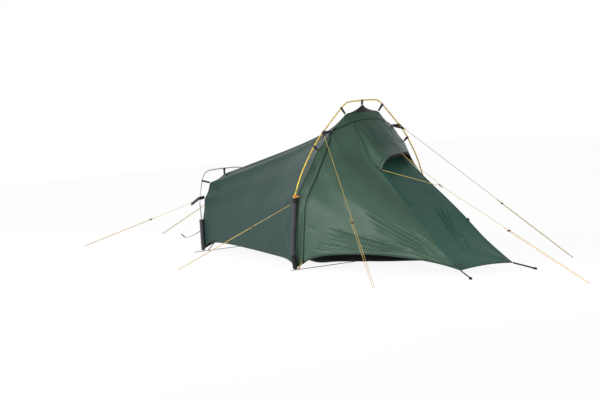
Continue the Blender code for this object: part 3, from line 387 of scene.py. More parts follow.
finishes = {
    # the material, and the slot that a piece made of it has
    "slate": (flyCloth("slateRipstop", (0.033, 0.070, 0.059), 0.05), "fly_slate"),
    "green": (flyCloth("greenRipstop", (0.063, 0.123, 0.084), 0.20), "fly_green"),
    # the green ripstop made darker for the hood, the yoke and the hood's side seam: painted shade, as they
    # are the same cloth as the door and look darker only because less light falls on their tops
    "hoodGreen": (flyCloth("hoodRipstop", (0.051, 0.108, 0.076), 0.17), "fly_green"),
    "teal": (flyCloth("tealRipstop", (0.046, 0.132, 0.103), 0.10), "fly_teal"),
    "darkGreen": (flyCloth("darkGreenRipstop", (0.022, 0.050, 0.032)), "fly_green"),
    "charcoal": (flyCloth("charcoalPatchCloth", (0.034, 0.034, 0.042)), "webbing"),
    "corner": (flyCloth("cornerRipstop", (0.036, 0.084, 0.064)), "fly_green"),
    "binding": (wovenTape("darkGreenBinding", (0.030, 0.062, 0.045), 0.0008), "webbing"),
    "rimTape": (wovenTape("greyGreenRimTape", (0.050, 0.085, 0.072), 0.0008), "webbing"),
    "webbing": (wovenTape("blackWebbing", (0.040, 0.037, 0.046)), "webbing"),
    "sleeve": (wovenTape("charcoalSleeve", (0.062, 0.060, 0.072), 0.0018), "webbing"),
    "blackTape": (wovenTape("blackTape", (0.014, 0.013, 0.017)), "webbing"),
    "yellowWebbing": (wovenTape("yellowWebbing", (0.72, 0.42, 0.07)), "yellow_webbing"),
    "inner": (innerCloth("darkInnerCloth", (0.010, 0.013, 0.016)), "inner_cloth"),
    "floorCloth": (innerCloth("blackFloorCloth", (0.008, 0.010, 0.012)), "inner_cloth"),
    "net": (insectNet("blackNet", (0.012, 0.012, 0.014)), "inner_cloth"),
    "guyLine": (braidedCord("yellowGuyLine", (0.88, 0.58, 0.12), (0.90, 0.70, 0.30)), "guy_cord"),
    "yellowTube": (anodisedTube("yellowAnodised", (0.92, 0.64, 0.075), (0.80, 0.54, 0.06)), "main_pole_tube"),
    "greyTube": (anodisedTube("greyAnodised", (0.62, 0.63, 0.64), (0.46, 0.47, 0.48)), "rear_pole_tube"),
    "orange": (mouldedPlastic("orangePlastic", (0.86, 0.30, 0.045), 0.35), "lock_plastic"),
    "blackPlastic": (mouldedPlastic("blackPlastic", (0.022, 0.022, 0.025)), "black_plastic"),
    "zipCoil": (mouldedPlastic("zipCoil", (0.018, 0.026, 0.022), 0.5), "black_plastic"),
    "thread": (mouldedPlastic("sewingThread", (0.028, 0.050, 0.038), 0.7), "webbing"),
}
print("materials ready:", len(finishes))


# shared modelling steps

def camel(node):
    # a node's name as the name of its piece here
    first, *rest = node.split("_")
    return first + "".join(word.title() for word in rest)


def newObject(name, mesh):
    made = bpy.data.objects.new(name, mesh)
    bpy.context.scene.collection.objects.link(made)
    return made


def makeActive(piece):
    bpy.ops.object.select_all(action="DESELECT")
    piece.select_set(True)
    bpy.context.view_layer.objects.active = piece


@contextmanager
def editing(piece):
    # the piece in edit mode with everything selected
    makeActive(piece)
    bpy.ops.object.mode_set(mode="EDIT")
    bpy.ops.mesh.select_all(action="SELECT")
    yield
    bpy.ops.object.mode_set(mode="OBJECT")


@contextmanager
def opened(mesh):
    # the mesh for an edit with bmesh, written back afterwards
    shape = bmesh.new()
    shape.from_mesh(mesh)
    yield shape
    shape.to_mesh(mesh)
    shape.free()


def applyModifiers(piece):
    makeActive(piece)
    for modifier in list(piece.modifiers):
        bpy.ops.object.modifier_apply(modifier=modifier.name)


def smoothBelow(piece, degrees):
    makeActive(piece)
    bpy.ops.object.shade_smooth_by_angle(angle=math.radians(degrees))


def put(piece, finish, *nodes, body="tent", slot=None):
    # gives a finished piece its material and its body, and hides the nodes that it stands for
    material, usualSlot = finishes[finish]
    piece.data.materials.clear()
    piece.data.materials.append(material)
    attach(piece, body)
    if nodes:
        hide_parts(*nodes)
    return piece


def mergedCopy(node):
    piece = newObject(camel(node), frame["nodes"][node].data.copy())
    piece.data.materials.clear()
    for key in list(piece.data.keys()):
        del piece.data[key]
    with opened(piece.data) as shape:
        bmesh.ops.remove_doubles(shape, verts=shape.verts, dist=0.00002)
    return piece


def toQuads(piece):
    with editing(piece):
        bpy.ops.mesh.tris_convert_to_quads(face_threshold=math.radians(60), shape_threshold=math.radians(120),
                                           topology_influence=1.0)


def turned(uvs, angle):
    cosine, sine = math.cos(angle), math.sin(angle)
    return uvs @ np.array([[cosine, sine], [-sine, cosine]])


def smallestCut(uvs, area):
    # the width and length of the smallest rectangle of cloth that the piece is cut from
    sizes = [np.ptp(turned(uvs, math.radians(degrees)), axis=0) for degrees in range(0, 90, 3)]
    best = min(sizes, key=lambda size: size[0] * size[1])
    return best * max(1.0, math.sqrt(area / (best[0] * best[1])))


def unwrapInMetres(piece):
    # the piece's own flat cut as UVs, in metres, with V as near to upright as it goes
    with editing(piece):
        bpy.ops.uv.unwrap(method="ANGLE_BASED", margin=0.0)
    mesh = piece.data
    uvs = np.zeros(len(mesh.loops) * 2, np.float32)
    mesh.uv_layers.active.data.foreach_get("uv", uvs)
    uvs = uvs.reshape(-1, 2).astype(float)
    flatArea, realArea = 0.0, 0.0
    upright = np.zeros(2)
    for face in mesh.polygons:
        corners = uvs[list(face.loop_indices)]
        rolled = np.roll(corners, -1, axis=0)
        flatArea += abs((corners[:, 0] * rolled[:, 1] - corners[:, 1] * rolled[:, 0]).sum()) / 2
        realArea += face.area
        heights = np.array([mesh.vertices[v].co.z for v in face.vertices])
        upright += ((corners - corners.mean(0)) * (heights - heights.mean())[:, None]).sum(0)
    uvs *= math.sqrt(realArea / max(flatArea, 1e-12))
    uvs = turned(uvs, math.atan2(upright[0], upright[1]))
    uvs -= uvs.min(0)
    mesh.uv_layers.active.data.foreach_set("uv", uvs.astype(np.float32).ravel())
    return smallestCut(uvs, realArea), realArea


def outerLayer(node, outside):
    # the side of a cloth node that faces the point outside, as one layer of quads
    piece = mergedCopy(node)
    goal = Vector(outside)
    with opened(piece.data) as shape:
        sides = [face for face in shape.faces
                 if min(edge.calc_length() for edge in face.edges) < cloth["sideWidth"]]
        bmesh.ops.delete(shape, geom=sides, context="FACES_ONLY")
        unseen, groups = set(shape.faces), []
        while unseen:
            group, front = set(), [next(iter(unseen))]
            while front:
                face = front.pop()
                if face not in group:
                    group.add(face)
                    front += [other for edge in face.edges for other in edge.link_faces if other not in group]
            unseen -= group
            groups.append(group)
        best = max(groups, key=lambda group: sum(
            (goal - face.calc_center_median()).normalized().dot(face.normal) * face.calc_area()
            for face in group))
        bmesh.ops.delete(shape, geom=[face for face in shape.faces if face not in best], context="FACES")
        bmesh.ops.delete(shape, geom=[v for v in shape.verts if not v.link_faces], context="VERTS")
    toQuads(piece)
    return piece


def subdivided(piece, levels):
    smooth = piece.modifiers.new("smooth", "SUBSURF")
    smooth.levels = smooth.render_levels = levels
    smooth.boundary_smooth = "PRESERVE_CORNERS"
    applyModifiers(piece)


def thickened(piece, thickness, offset=0.0):
    wall = piece.modifiers.new("wall", "SOLIDIFY")
    wall.thickness = thickness
    wall.offset = offset
    applyModifiers(piece)
    return piece


def vertexData(piece, kind):
    found = np.zeros(len(piece.data.vertices) * 3, np.float32)
    piece.data.vertices.foreach_get(kind, found)
    return found.reshape(-1, 3).astype(float)


def pointsOf(piece):
    return vertexData(piece, "co")


def pushOut(piece, distances):
    # moves every point of a piece along its normal
    points = pointsOf(piece) + vertexData(piece, "normal") * distances[:, None]
    setPoints(piece, points)


def setPoints(piece, points):
    piece.data.vertices.foreach_set("co", points.astype(np.float32).ravel())
    piece.data.update()


def boundaryPoints(piece):
    # the edge of a one-layer sheet as an ordered ring of points
    shape = bmesh.new()
    shape.from_mesh(piece.data)
    start = next(edge for edge in shape.edges if edge.is_boundary).verts[0]
    ring, here, used = [start.co.copy()], start, set()
    while True:
        onward = [edge for edge in here.link_edges if edge.is_boundary and edge not in used]
        if not onward:
            break
        used.add(onward[0])
        here = onward[0].other_vert(here)
        if here is start:
            break
        ring.append(here.co.copy())
    shape.free()
    return ring


def edgeRun(piece, start, through, end):
    # the stretch of a sheet's edge from start to end, by way of the point through
    ring = boundaryPoints(piece)
    first, middle, last = (min(range(len(ring)), key=lambda i: (ring[i] - goal).length)
                           for goal in (start, through, end))
    ring = ring[first:] + ring[:first]
    middle, last = (middle - first) % len(ring), (last - first) % len(ring)
    if middle <= last:
        return ring[:last + 1]
    return [ring[0]] + ring[:last - 1:-1]


def stepLengths(points):
    # how far along the path each of its points is
    lengths = [0.0]
    for a, b in zip(points, points[1:]):
        lengths.append(lengths[-1] + (b - a).length)
    return lengths


def resampled(points, spacing):
    total = stepLengths(points)[-1]
    count = max(2, round(total / spacing))
    found, place, done = [points[0].copy()], 0, 0.0
    for step in range(1, count):
        goal = total * step / count
        while place < len(points) - 2 and done + (points[place + 1] - points[place]).length < goal:
            done += (points[place + 1] - points[place]).length
            place += 1
        length = (points[place + 1] - points[place]).length
        found.append(points[place].lerp(points[place + 1], (goal - done) / max(length, 1e-9)))
    return found + [points[-1].copy()]


def gridMesh(name, rows, along=None, around=None):
    # rows of points as a smooth mesh with UVs in metres; given UV steps around, each row is a closed ring and
    # both ends get a cap
    across = len(rows[0])
    places = [place for r in range(len(rows) - 1) for c in range(across if around else across - 1)
              for place in ((r, c), (r, c + 1), (r + 1, c + 1), (r + 1, c))]
    indices = [row * across + column % across for row, column in places]
    faces = [indices[k:k + 4] for k in range(0, len(indices), 4)]
    if around:
        faces += [list(range(across))[::-1], [(len(rows) - 1) * across + c for c in range(across)]]
    around = around or stepLengths(rows[0])
    along = along or stepLengths([row[0] for row in rows])
    mesh = bpy.data.meshes.new(name)
    mesh.from_pydata([tuple(p) for row in rows for p in row], [], faces)
    layer = mesh.uv_layers.new(name="clothUv").data
    for index, (row, column) in enumerate(places):
        layer[index].uv = (around[column], along[row])
    piece = newObject(name, mesh)
    piece.data.shade_smooth()
    return piece


def solidMesh(name, places, faces):
    # many small closed shapes as one piece, with every face turned outwards
    mesh = bpy.data.meshes.new(name)
    mesh.from_pydata([tuple(p) for p in places], [], faces)
    with opened(mesh) as shape:
        bmesh.ops.recalc_face_normals(shape, faces=shape.faces)
    return newObject(name, mesh)


def surfaceTree(*pieces):
    shape = bmesh.new()
    for piece in pieces:
        shape.from_mesh(piece.data)
    tree = BVHTree.FromBMesh(shape)
    shape.free()
    return tree


def directionAt(points, index):
    # the way a path runs at one of its points
    return (points[min(index + 1, len(points) - 1)] - points[max(index - 1, 0)]).normalized()


tapeStep = 0.008      # the distance between a tape's rows of points


def ribbon(name, run, tree, reaches, lift, thickness):
    # a tape laid on the cloth along a run of points; reaches are its sideways distances from the run
    points = resampled(run, tapeStep)
    rows = []
    for index, point in enumerate(points):
        normal = tree.find_nearest(point)[1]
        across = normal.cross(directionAt(points, index)).normalized()
        row = []
        for reach in reaches:
            goal = point + across * reach
            spot, up = tree.find_nearest(goal)[:2]
            if up.dot(normal) < 0:
                up = -up
            offset = goal - spot
            beyond = offset - up * offset.dot(up)      # past the cloth's edge, for a tape that folds over it
            row.append(spot + beyond + up * lift)
        rows.append(row)
    return thickened(gridMesh(name, rows), thickness)


# cloth: creases, tension folds, sags and crinkles, added to a panel's points along its normals

cloth = {
    "sideWidth": 0.00095,      # a face of a cloth solid with an edge shorter than this is its narrow side
    "thickness": 0.0005,
    "inset": 0.0002,
    "sagScale": 3.2,
    "wavyScale": 3.0,      # how broad the waves are that keep creases from being straight, and how high
    "waviness": 0.0035,
    "refine": (0.013, 0.009),      # a panel's own values of these two take their place
    "edge": 0.035,
}
layers = {}      # each sheet's one-layer surface by name, for the seams that are laid on it


def nearLine(points, line):
    # for every point: its distance from the line, on which side it is, and its share of the way along
    line = [np.array(p, float) for p in line]
    lengths = [np.linalg.norm(b - a) for a, b in zip(line, line[1:])]
    total, before = sum(lengths), 0.0
    best = np.full(len(points), 1e9)
    above, share = np.zeros(len(points)), np.zeros(len(points))
    for a, b, length in zip(line, line[1:], lengths):
        run = (b - a) / length
        reach = np.clip((points - a) @ run, 0, length)
        offset = points - (a + reach[:, None] * run)
        distance = np.linalg.norm(offset, axis=1)
        closer = distance < best
        best = np.where(closer, distance, best)
        above = np.where(closer, np.sign(offset[:, 2]), above)
        share = np.where(closer, (before + reach) / total, share)
        before += length
    return best, above, share


def crease(points, line, width, depth, startFade=0.35, endFade=0.12):
    # a sharp valley with a low ridge above it, which fades at both ends; a negative depth makes a ridge
    distance, above, share = nearLine(points, line)
    fade = np.clip(share / startFade, 0, 1) * np.clip((1 - share) / endFade, 0, 1)
    signed = distance * above / width
    return depth * fade * (0.45 * np.exp(-((signed - 1.5) / 1.2) ** 2) - np.exp(-signed ** 2))


def refineNear(piece, lines, reach, finest):
    # halves the cloth's mesh beside its creases, apart from edges that are short already
    with opened(piece.data) as shape:
        middles = np.array([tuple((edge.verts[0].co + edge.verts[1].co) / 2) for edge in shape.edges])
        near = np.zeros(len(middles), bool)
        for line in lines:
            near |= nearLine(middles, line)[0] < reach
        near &= np.array([edge.calc_length() for edge in shape.edges]) > finest
        chosen = [edge for edge, wanted in zip(shape.edges, near) if wanted]
        bmesh.ops.subdivide_edges(shape, edges=chosen, cuts=1, use_grid_fill=True)


def fan(points, normals, start, toward, spread, folds, height):
    # small folds that spread from a point where the cloth is pulled
    centre = np.array(at(*start), float)
    pull = np.array(at(*toward), float) - centre
    reach = np.linalg.norm(pull)
    pull /= reach
    nearest = np.argmin(np.linalg.norm(points - centre, axis=1))
    side = np.cross(normals[nearest], pull)
    side /= np.linalg.norm(side)
    offset = points - centre
    x, y = offset @ pull, offset @ side
    distance = np.hypot(x, y) / reach
    angle = np.arctan2(y, x)
    strength = np.clip(1 - (np.abs(angle) / spread) ** 2, 0, 1)
    ripple = np.cos(folds * angle / spread)
    return height * ripple * strength * np.clip(distance * 3, 0, 1) * np.exp(-(distance * 1.2) ** 2)


def edgeMask(piece, points, reach):
    # 0 at the panel's sewn edges and 1 further in
    ring = boundaryPoints(piece)
    tree = KDTree(len(ring))
    for index, point in enumerate(ring):
        tree.insert(point, index)
    tree.balance()
    distances = np.array([tree.find(Vector(p))[2] for p in points])
    share = np.clip(distances / reach, 0, 1)
    return share * share * (3 - 2 * share)


def crumple(points, scale, height, seed):
    shift = Vector((seed * 7.3, seed * 3.1, seed * 5.7))
    return np.array([noise.fractal(Vector(p) * scale + shift, 1.0, 2.0, 3) for p in points]) * height


def seated(piece, line):
    # the line's points brought onto the cloth
    tree = surfaceTree(piece)
    return [tree.find_nearest(at(*point))[0] for point in line]


def finishSheet(piece, rise, finish, node):
    # moves a sheet's points out by rise, keeps the layer for its seams and gives the sheet its thickness
    pushOut(piece, rise - cloth["inset"])
    piece.data.shade_smooth()
    layers[piece.name] = newObject(piece.name + "Layer", piece.data.copy())
    thickened(piece, cloth["thickness"], -1.0)
    put(piece, finish, node)


def clothPanel(node, look):
    # a fly panel: its node's outer side, cut flat for its UVs, smoothed, folded and given its thickness
    piece = outerLayer(node, look["outside"])
    cut = unwrapInMetres(piece)
    subdivided(piece, look["levels"])
    lines = [(seated(piece, line), *sizes) for line, *sizes in look.get("creases", [])]
    for reach in look.get("refine", cloth["refine"]) if lines else ():
        refineNear(piece, [line for line, *_ in lines], reach, look.get("finest", 0))
    points, normals = pointsOf(piece), vertexData(piece, "normal")
    rise = np.zeros(len(points))
    waves = [crumple(points, cloth["wavyScale"], cloth["waviness"], look["seed"] + k) for k in range(3)]
    wavy = points + np.stack(waves, axis=1)
    for line, *sizes in lines:
        rise += crease(wavy, line, *sizes)
    for line, *sizes in look.get("bulges", []):
        rise += crease(points, seated(piece, line), *sizes)
    for tension in look.get("fans", []):
        rise += fan(wavy, normals, *tension)
    rise += crumple(points, cloth["sagScale"], look["sag"], look["seed"])
    rise *= edgeMask(piece, points, look.get("edge", cloth["edge"]))
    finishSheet(piece, rise, look["finish"], node)


nearCorner = (1.312, -0.214, 0.042)
farCorner = (1.312, 0.214, 0.042)
zipFoot = (0.061, -0.511, 0.040)
hoodCorner = (0.175, -0.130, 0.943)
hoodTip = (0.476, -0.140, 0.625)
hoodRimRun = hoodTip, (0.506, 0.0, 0.736), (0.436, 0.128, 0.716)

# each crease below is a line of points, its width, its depth, and the shares of its length over which it
# fades in and out; each fan is where it starts, where it points, its spread, its folds and their height

doorBundle = (
    # where a crease starts, how far it is below the first one, where it ends, its width and its depth
    (0.29, 0.000, 0.98, 0.0052, 0.0112),
    (0.35, 0.022, 1.02, 0.0046, 0.0086),
    (0.27, 0.037, 0.90, 0.0050, 0.0108),
    (0.38, 0.057, 0.96, 0.0044, 0.0080),
    (0.31, 0.069, 0.82, 0.0050, 0.0098),
    (0.42, 0.090, 0.92, 0.0046, 0.0070),
    (0.34, 0.103, 0.70, 0.0044, 0.0060),
)


def bundled(startX, drop, endX, width, depth):
    # a crease of the door's bundle, which runs low over the hem
    start = (startX, -0.46, 0.282 - 0.10 * (startX - 0.29) - drop)
    middle = (0.64, -0.37, 0.207 - drop * 0.84)
    end = (endX, -0.27, 0.142 + 0.14 * (1.0 - endX) - drop * 0.55)
    return [start, middle, end], width, depth, 0.08, 0.35


panels = {
    "fly_body_near": {
        "finish": "slate", "levels": 3, "seed": 1.0, "outside": (-0.4, -6, 3), "sag": 0.003,
        "hungFrom": ["main_pole_near_shoulder", "rear_pole_crown"],
        "fans": [
            ((0.055775, -0.53, 0.47), (-0.50, -0.50, 0.42), 0.9, 9, 0.0022),
            ((-1.598, -0.20, 0.03), (-1.30, -0.26, 0.16), 1.0, 6, 0.0022),
            ((0.0, -0.52, 0.03), (-0.42, -0.48, 0.16), 0.9, 7, 0.0026),
            ((-1.58, -0.18, 0.38), (-1.32, -0.22, 0.40), 1.0, 6, 0.0016),
            ((0.10, -0.26, 0.89), (-0.30, -0.25, 0.75), 0.9, 6, 0.0018),
        ],
    },
    "fly_body_far": {
        "finish": "slate", "levels": 3, "seed": 2.0, "outside": (-0.4, 6, 3), "sag": 0.005,
        "hungFrom": ["main_pole_far_shoulder", "rear_pole_crown"],
        "fans": [
            ((0.055775, 0.53, 0.47), (-0.50, 0.50, 0.42), 0.9, 8, 0.0022),
            ((-1.598, 0.20, 0.03), (-1.30, 0.26, 0.16), 1.0, 6, 0.0022),
            ((0.0, 0.52, 0.03), (-0.42, 0.48, 0.16), 0.9, 7, 0.0026),
            ((0.10, 0.26, 0.89), (-0.30, 0.25, 0.75), 0.9, 6, 0.0018),
        ],
    },
    "fly_rear_wall": {
        "finish": "slate", "levels": 3, "seed": 3.0, "outside": (-8, 0, 1), "sag": 0.003,
        "hungFrom": ["rear_pole_crown"],
        "fans": [((-1.598, y, 0.03), (-1.59, y * 0.05 / 0.19, 0.20), 0.9, 6, 0.0018) for y in (-0.19, 0.19)],
    },
    "fly_jamb": {
        "finish": "green", "levels": 2, "seed": 4.0, "refine": (0.008, 0.005), "outside": (2, -8, 2),
        "sag": 0.002, "edge": 0.012, "hungFrom": ["main_sleeve_near"],
        "creases": [
            ([(0.106, -0.33, 0.83), (0.100, -0.42, 0.70), (0.080, -0.50, 0.50), (0.058, -0.51, 0.34)],
             0.0044, 0.0056, 0.1),
            ([(0.116, -0.32, 0.84), (0.114, -0.43, 0.69), (0.096, -0.50, 0.50), (0.074, -0.51, 0.30)],
             0.0038, 0.0042, 0.1),
            ([(0.124, -0.33, 0.82), (0.126, -0.43, 0.68), (0.112, -0.49, 0.50), (0.092, -0.51, 0.36)],
             0.0040, 0.0050, 0.1),
            ([(0.074, -0.51, 0.49), (0.050, -0.51, 0.28), (0.022, -0.51, 0.08)], 0.0046, 0.0058, 0.1),
            ([(0.088, -0.51, 0.44), (0.060, -0.51, 0.26), (0.034, -0.51, 0.08)], 0.0040, 0.0042, 0.1),
            ([(0.100, -0.51, 0.42), (0.072, -0.51, 0.24), (0.046, -0.51, 0.08)], 0.0044, 0.0052, 0.1),
            ([(0.050, -0.51, 0.38), (0.030, -0.51, 0.20), (0.012, -0.51, 0.05)], 0.0040, 0.0048, 0.1),
        ],
    },
    "fly_door": {
        "finish": "green", "levels": 2, "seed": 5.0, "outside": (3, -8, 2), "sag": 0.006,
        "hungFrom": ["door_zip", "main_clip_guy_near"],
        "creases": [
            ([(0.53, -0.345, 0.392), (0.84, -0.28, 0.247), (1.03, -0.235, 0.160)], 0.0062, 0.0096, 0.15),
            ([(0.58, -0.335, 0.330), (0.85, -0.285, 0.219), (1.06, -0.235, 0.138)], 0.0056, 0.0084, 0.15),
            ([(0.62, -0.335, 0.290), (0.86, -0.285, 0.190), (1.08, -0.235, 0.118)], 0.0056, 0.0080, 0.15),
            ([(0.74, -0.30, 0.325), (0.96, -0.25, 0.225), (1.16, -0.24, 0.125)], 0.0062, 0.0060, 0.3),
            ([(0.86, -0.26, 0.292), (1.03, -0.235, 0.205), (1.20, -0.22, 0.105)], 0.0066, 0.0060, 0.3),
            ([(0.84, -0.30, 0.165), (1.02, -0.26, 0.112), (1.20, -0.23, 0.070)], 0.0056, 0.0050, 0.3),
            ([(0.20, -0.47, 0.180), (0.45, -0.42, 0.150), (0.75, -0.34, 0.120)], 0.0056, 0.0056, 0.2),
            ([(0.22, -0.47, 0.155), (0.45, -0.42, 0.130), (0.66, -0.36, 0.111)], 0.0052, 0.0044, 0.2),
            ([(0.15, -0.49, 0.145), (0.26, -0.46, 0.136), (0.40, -0.42, 0.122)], 0.0056, 0.0044, 0.2),
            ([(0.10, -0.50, 0.330), (0.14, -0.49, 0.290), (0.20, -0.48, 0.262)], 0.0070, 0.0024, 0.2),
            *(bundled(*row) for row in doorBundle),
        ],
        "bulges": [
            ([(0.176, -0.284, 0.775), (0.257, -0.286, 0.678), (0.349, -0.288, 0.596), (0.560, -0.272, 0.458),
              (0.789, -0.240, 0.336), (1.060, -0.215, 0.200)], 0.110, -0.020, 0.15, 0.25),
        ],
        "fans": [
            (nearCorner, (0.70, -0.36, 0.20), 0.6, 9, 0.0014),
            ((0.11, -0.25, 0.89), (0.30, -0.30, 0.62), 0.7, 6, 0.0024),
            (zipFoot, (0.25, -0.47, 0.20), 1.0, 7, 0.0024),
            (hoodTip, (0.60, -0.26, 0.40), 0.8, 5, 0.0020),
        ],
    },
    "fly_front_far": {
        "finish": "green", "levels": 3, "seed": 6.0, "outside": (3, 8, 2), "sag": 0.006,
        "hungFrom": ["main_sleeve_far", "main_clip_guy_far"],
        "fans": [
            (farCorner, (0.70, 0.36, 0.20), 0.5, 12, 0.0030),
            ((0.11, 0.25, 0.89), (0.30, 0.30, 0.62), 0.7, 6, 0.0024),
            ((0.02, 0.51, 0.03), (0.25, 0.47, 0.20), 1.0, 7, 0.0024),
        ],
    },
    "fly_front_panel": {
        "finish": "teal", "levels": 3, "seed": 7.0, "refine": (0.014, 0.011, 0.009), "finest": 0.0042,
        "outside": (5, 0, 5), "sag": 0.005, "hungFrom": ["fly_door", "fly_front_far"],
        "creases": [
            ([(0.800, 0.060, 0.397), (0.980, -0.004, 0.264), (1.208, -0.077, 0.111)], 0.0066, 0.0092, 0.12),
            ([(0.800, 0.020, 0.397), (0.940, -0.014, 0.295), (1.140, -0.075, 0.151)], 0.0062, 0.0086, 0.15),
            ([(0.830, 0.085, 0.376), (0.940, 0.042, 0.297), (1.070, -0.010, 0.200)], 0.0062, 0.0064, 0.2),
            ([(0.960, 0.066, 0.282), (1.060, 0.030, 0.211), (1.160, -0.006, 0.141)], 0.0062, 0.0052),
            ([(1.081, 0.010, 0.189), (1.140, -0.010, 0.153), (1.198, -0.028, 0.118)], 0.0062, 0.0050),
        ],
        "fans": [
            (nearCorner, (1.16, -0.05, 0.14), 0.9, 6, 0.0022),
            (farCorner, (1.16, 0.05, 0.14), 0.9, 6, 0.0022),
        ],
    },
    # the yoke takes the darker copy of the green ripstop: painted shade on its upward-facing top
    "fly_yoke": {
        "finish": "hoodGreen", "levels": 2, "seed": 8.0, "outside": (3, 0, 6), "sag": 0.002, "edge": 0.02,
        "hungFrom": ["main_clip_top", "main_clip_high_near"],
        "creases": [
            ([(0.118, -0.16, 0.98), (0.145, -0.10, 0.972), (0.165, -0.05, 0.965)], 0.006, 0.0030),
            ([(0.122, 0.16, 0.98), (0.145, 0.10, 0.972), (0.165, 0.04, 0.965)], 0.006, 0.0026),
        ],
    },
}

for node, look in panels.items():
    clothPanel(node, look)


# the vent hood: its cloth, the net in its mouth and its far side wall

hood = {
    "outside": (5, -0.5, 6),
    "levels": 3,
    "crumpleScale": 9.0,
    "edge": 0.03,
    "foldsToward": (0.34, 0.03, 0.80),
    "wallFrom": 0.122,      # faces this far out that look sideways are the side wall
    "ridgeSizes": (0.026, -0.009, 0.2, 0.1),      # its width, its depth and where it fades in and out
    "netStep": 0.012,
    "netRows": 8,
    "netThickness": 0.0004,
    "netNarrowing": 0.97,
    "netDrop": 0.004,      # how far below the rim the net starts
    "netInset": 0.016,      # how far behind the rim the net starts
    "netFoot": (0.356, 0.704),      # how far forward and how high the net meets the front panel's top seam
    "netSag": 0.018,
    "netHalfWidth": 0.14,
    "nearRidge": [(0.185, -0.104, 0.944), (0.28, -0.106, 0.860), (0.36, -0.108, 0.785), (0.45, -0.11, 0.715)],
}


def cutOut(piece, chosen, name):
    # moves the chosen faces of a piece into a new one
    part = newObject(name, piece.data.copy())
    for mesh, dropped in ((piece.data, True), (part.data, False)):
        with opened(mesh) as shape:
            bmesh.ops.delete(shape, geom=[face for face in shape.faces if chosen(face) is dropped],
                             context="FACES")
    return part


def addHood():
    shell = outerLayer("vent_hood", hood["outside"])
    wall = cutOut(shell, lambda face: face.calc_center_median().y > hood["wallFrom"] and face.normal.y > 0.75,
                  "hoodSideWall")
    # the hood's cloth takes the darker copy of the green ripstop: painted shade on its upward-facing top
    for piece, finish, height in ((shell, "hoodGreen", 0.0035), (wall, "floorCloth", 0.001)):
        cut = unwrapInMetres(piece)
        subdivided(piece, hood["levels"])
        points, normals = pointsOf(piece), vertexData(piece, "normal")
        rise = crumple(points, hood["crumpleScale"], height * 0.5, 11)
        rise += fan(points, normals, hoodTip, hood["foldsToward"], 0.9, 6, height * 0.7)
        if piece is shell:
            rise += crease(points, [at(*place) for place in hood["nearRidge"]], *hood["ridgeSizes"])
        rise *= edgeMask(piece, points, hood["edge"])
        finishSheet(piece, rise, finish, "vent_hood")


def along(name, *goals):
    # the stretch of a sheet's edge past three points
    return edgeRun(layers[name], *(at(*goal) for goal in goals))


def addHoodNet():
    # the net that closes the mouth, from under the rim down to the front panel's top seam
    rim = resampled(along("ventHood", *hoodRimRun), hood["netStep"])
    rows = []
    for step in range(hood["netRows"] + 1):
        share = step / hood["netRows"]
        row = []
        for point in rim:
            y = point.y * hood["netNarrowing"]
            top = Vector((point.x - hood["netInset"], y, point.z - hood["netDrop"]))
            place = top.lerp(at(hood["netFoot"][0], y, hood["netFoot"][1]), share)
            inward = max(0.0, 1 - abs(y) / hood["netHalfWidth"])
            place.z -= hood["netSag"] * math.sin(math.pi * share) * inward
            row.append(place)
        rows.append(row)
    net = thickened(gridMesh("hoodNet", rows), hood["netThickness"])
    put(net, "net", "vent_hood")


addHood()
addHoodNet()
print("vent hood ready")


# seams, bindings and stitching

runs = {
    "ridge": along("flyBodyNear", (-1.575, 0, 0.544), (-0.7, 0, 0.70), (0.12, 0, 1.048)),
    "hemRear": along("flyRearWall", (-1.597, -0.195, 0.018), (-1.597, 0, 0.068), (-1.597, 0.195, 0.018)),
    "hemDoor": along("flyDoor", zipFoot, (0.7, -0.36, 0.115), nearCorner),
    "hemFrontFar": along("flyFrontFar", (0.002, 0.519, 0.018), (0.7, 0.36, 0.115), farCorner),
    "hemFront": along("flyFrontPanel", nearCorner, (1.312, 0, 0.054), farCorner),
    "hemJamb": along("flyJamb", (0.002, -0.519, 0.018), (0.03, -0.515, 0.03), zipFoot),
    "hoodSide": along("flyDoor", hoodCorner, (0.277, -0.138, 0.812), (0.35, -0.14, 0.705)),
    "yokeSeam": along("flyYoke", (0.107, -0.226, 0.905), (0.175, 0, 0.955), (0.107, 0.226, 0.905)),
    "rim": along("ventHood", *hoodRimRun),
    "hoodFarEdge": along("ventHood", (0.175, 0.125, 0.943), (0.35, 0.132, 0.772), (0.436, 0.128, 0.716)),
    "zip": along("flyDoor", (0.13, -0.24, 0.90), (0.12, -0.47, 0.5), zipFoot),
}

for word, side in (("Near", -1), ("Far", 1)):
    body = "flyBody" + word
    foot, rearFoot = (0.002, 0.519 * side, 0.018), (-1.597, 0.195 * side, 0.018)
    runs["hoop" + word] = along(body, (0.12, 0, 1.048), (0.09, 0.36 * side, 0.779), foot)
    runs["rear" + word] = along(body, (-1.575, 0, 0.544), (-1.582, 0.18 * side, 0.38), rearFoot)
    runs["hem" + word] = along(body, rearFoot, (-0.8, 0.36 * side, 0.09), foot)
    runs["seam" + word] = along("flyFrontPanel", (0.35, 0.140 * side, 0.705), (0.848, 0.18 * side, 0.362),
                                nearCorner if side < 0 else farCorner)

trees = {name: surfaceTree(*(layers[layer] for layer in under)) for name, under in {
    "body": ("flyBodyNear", "flyBodyFar"),
    "rear": ("flyBodyNear", "flyBodyFar", "flyRearWall"),
    "hoop": ("flyBodyNear", "flyBodyFar", "flyYoke", "flyJamb", "flyFrontFar"),
    "front": ("flyFrontPanel", "flyDoor", "flyFrontFar"),
    "top": ("flyYoke", "ventHood", "flyDoor", "flyFrontFar"),
    "hood": ("ventHood",),
    "door": ("flyDoor",),
    "jamb": ("flyJamb",),
    "panel": ("flyFrontPanel",),
    "far": ("flyFrontFar",),
    "wall": ("flyRearWall",),
}.items()}

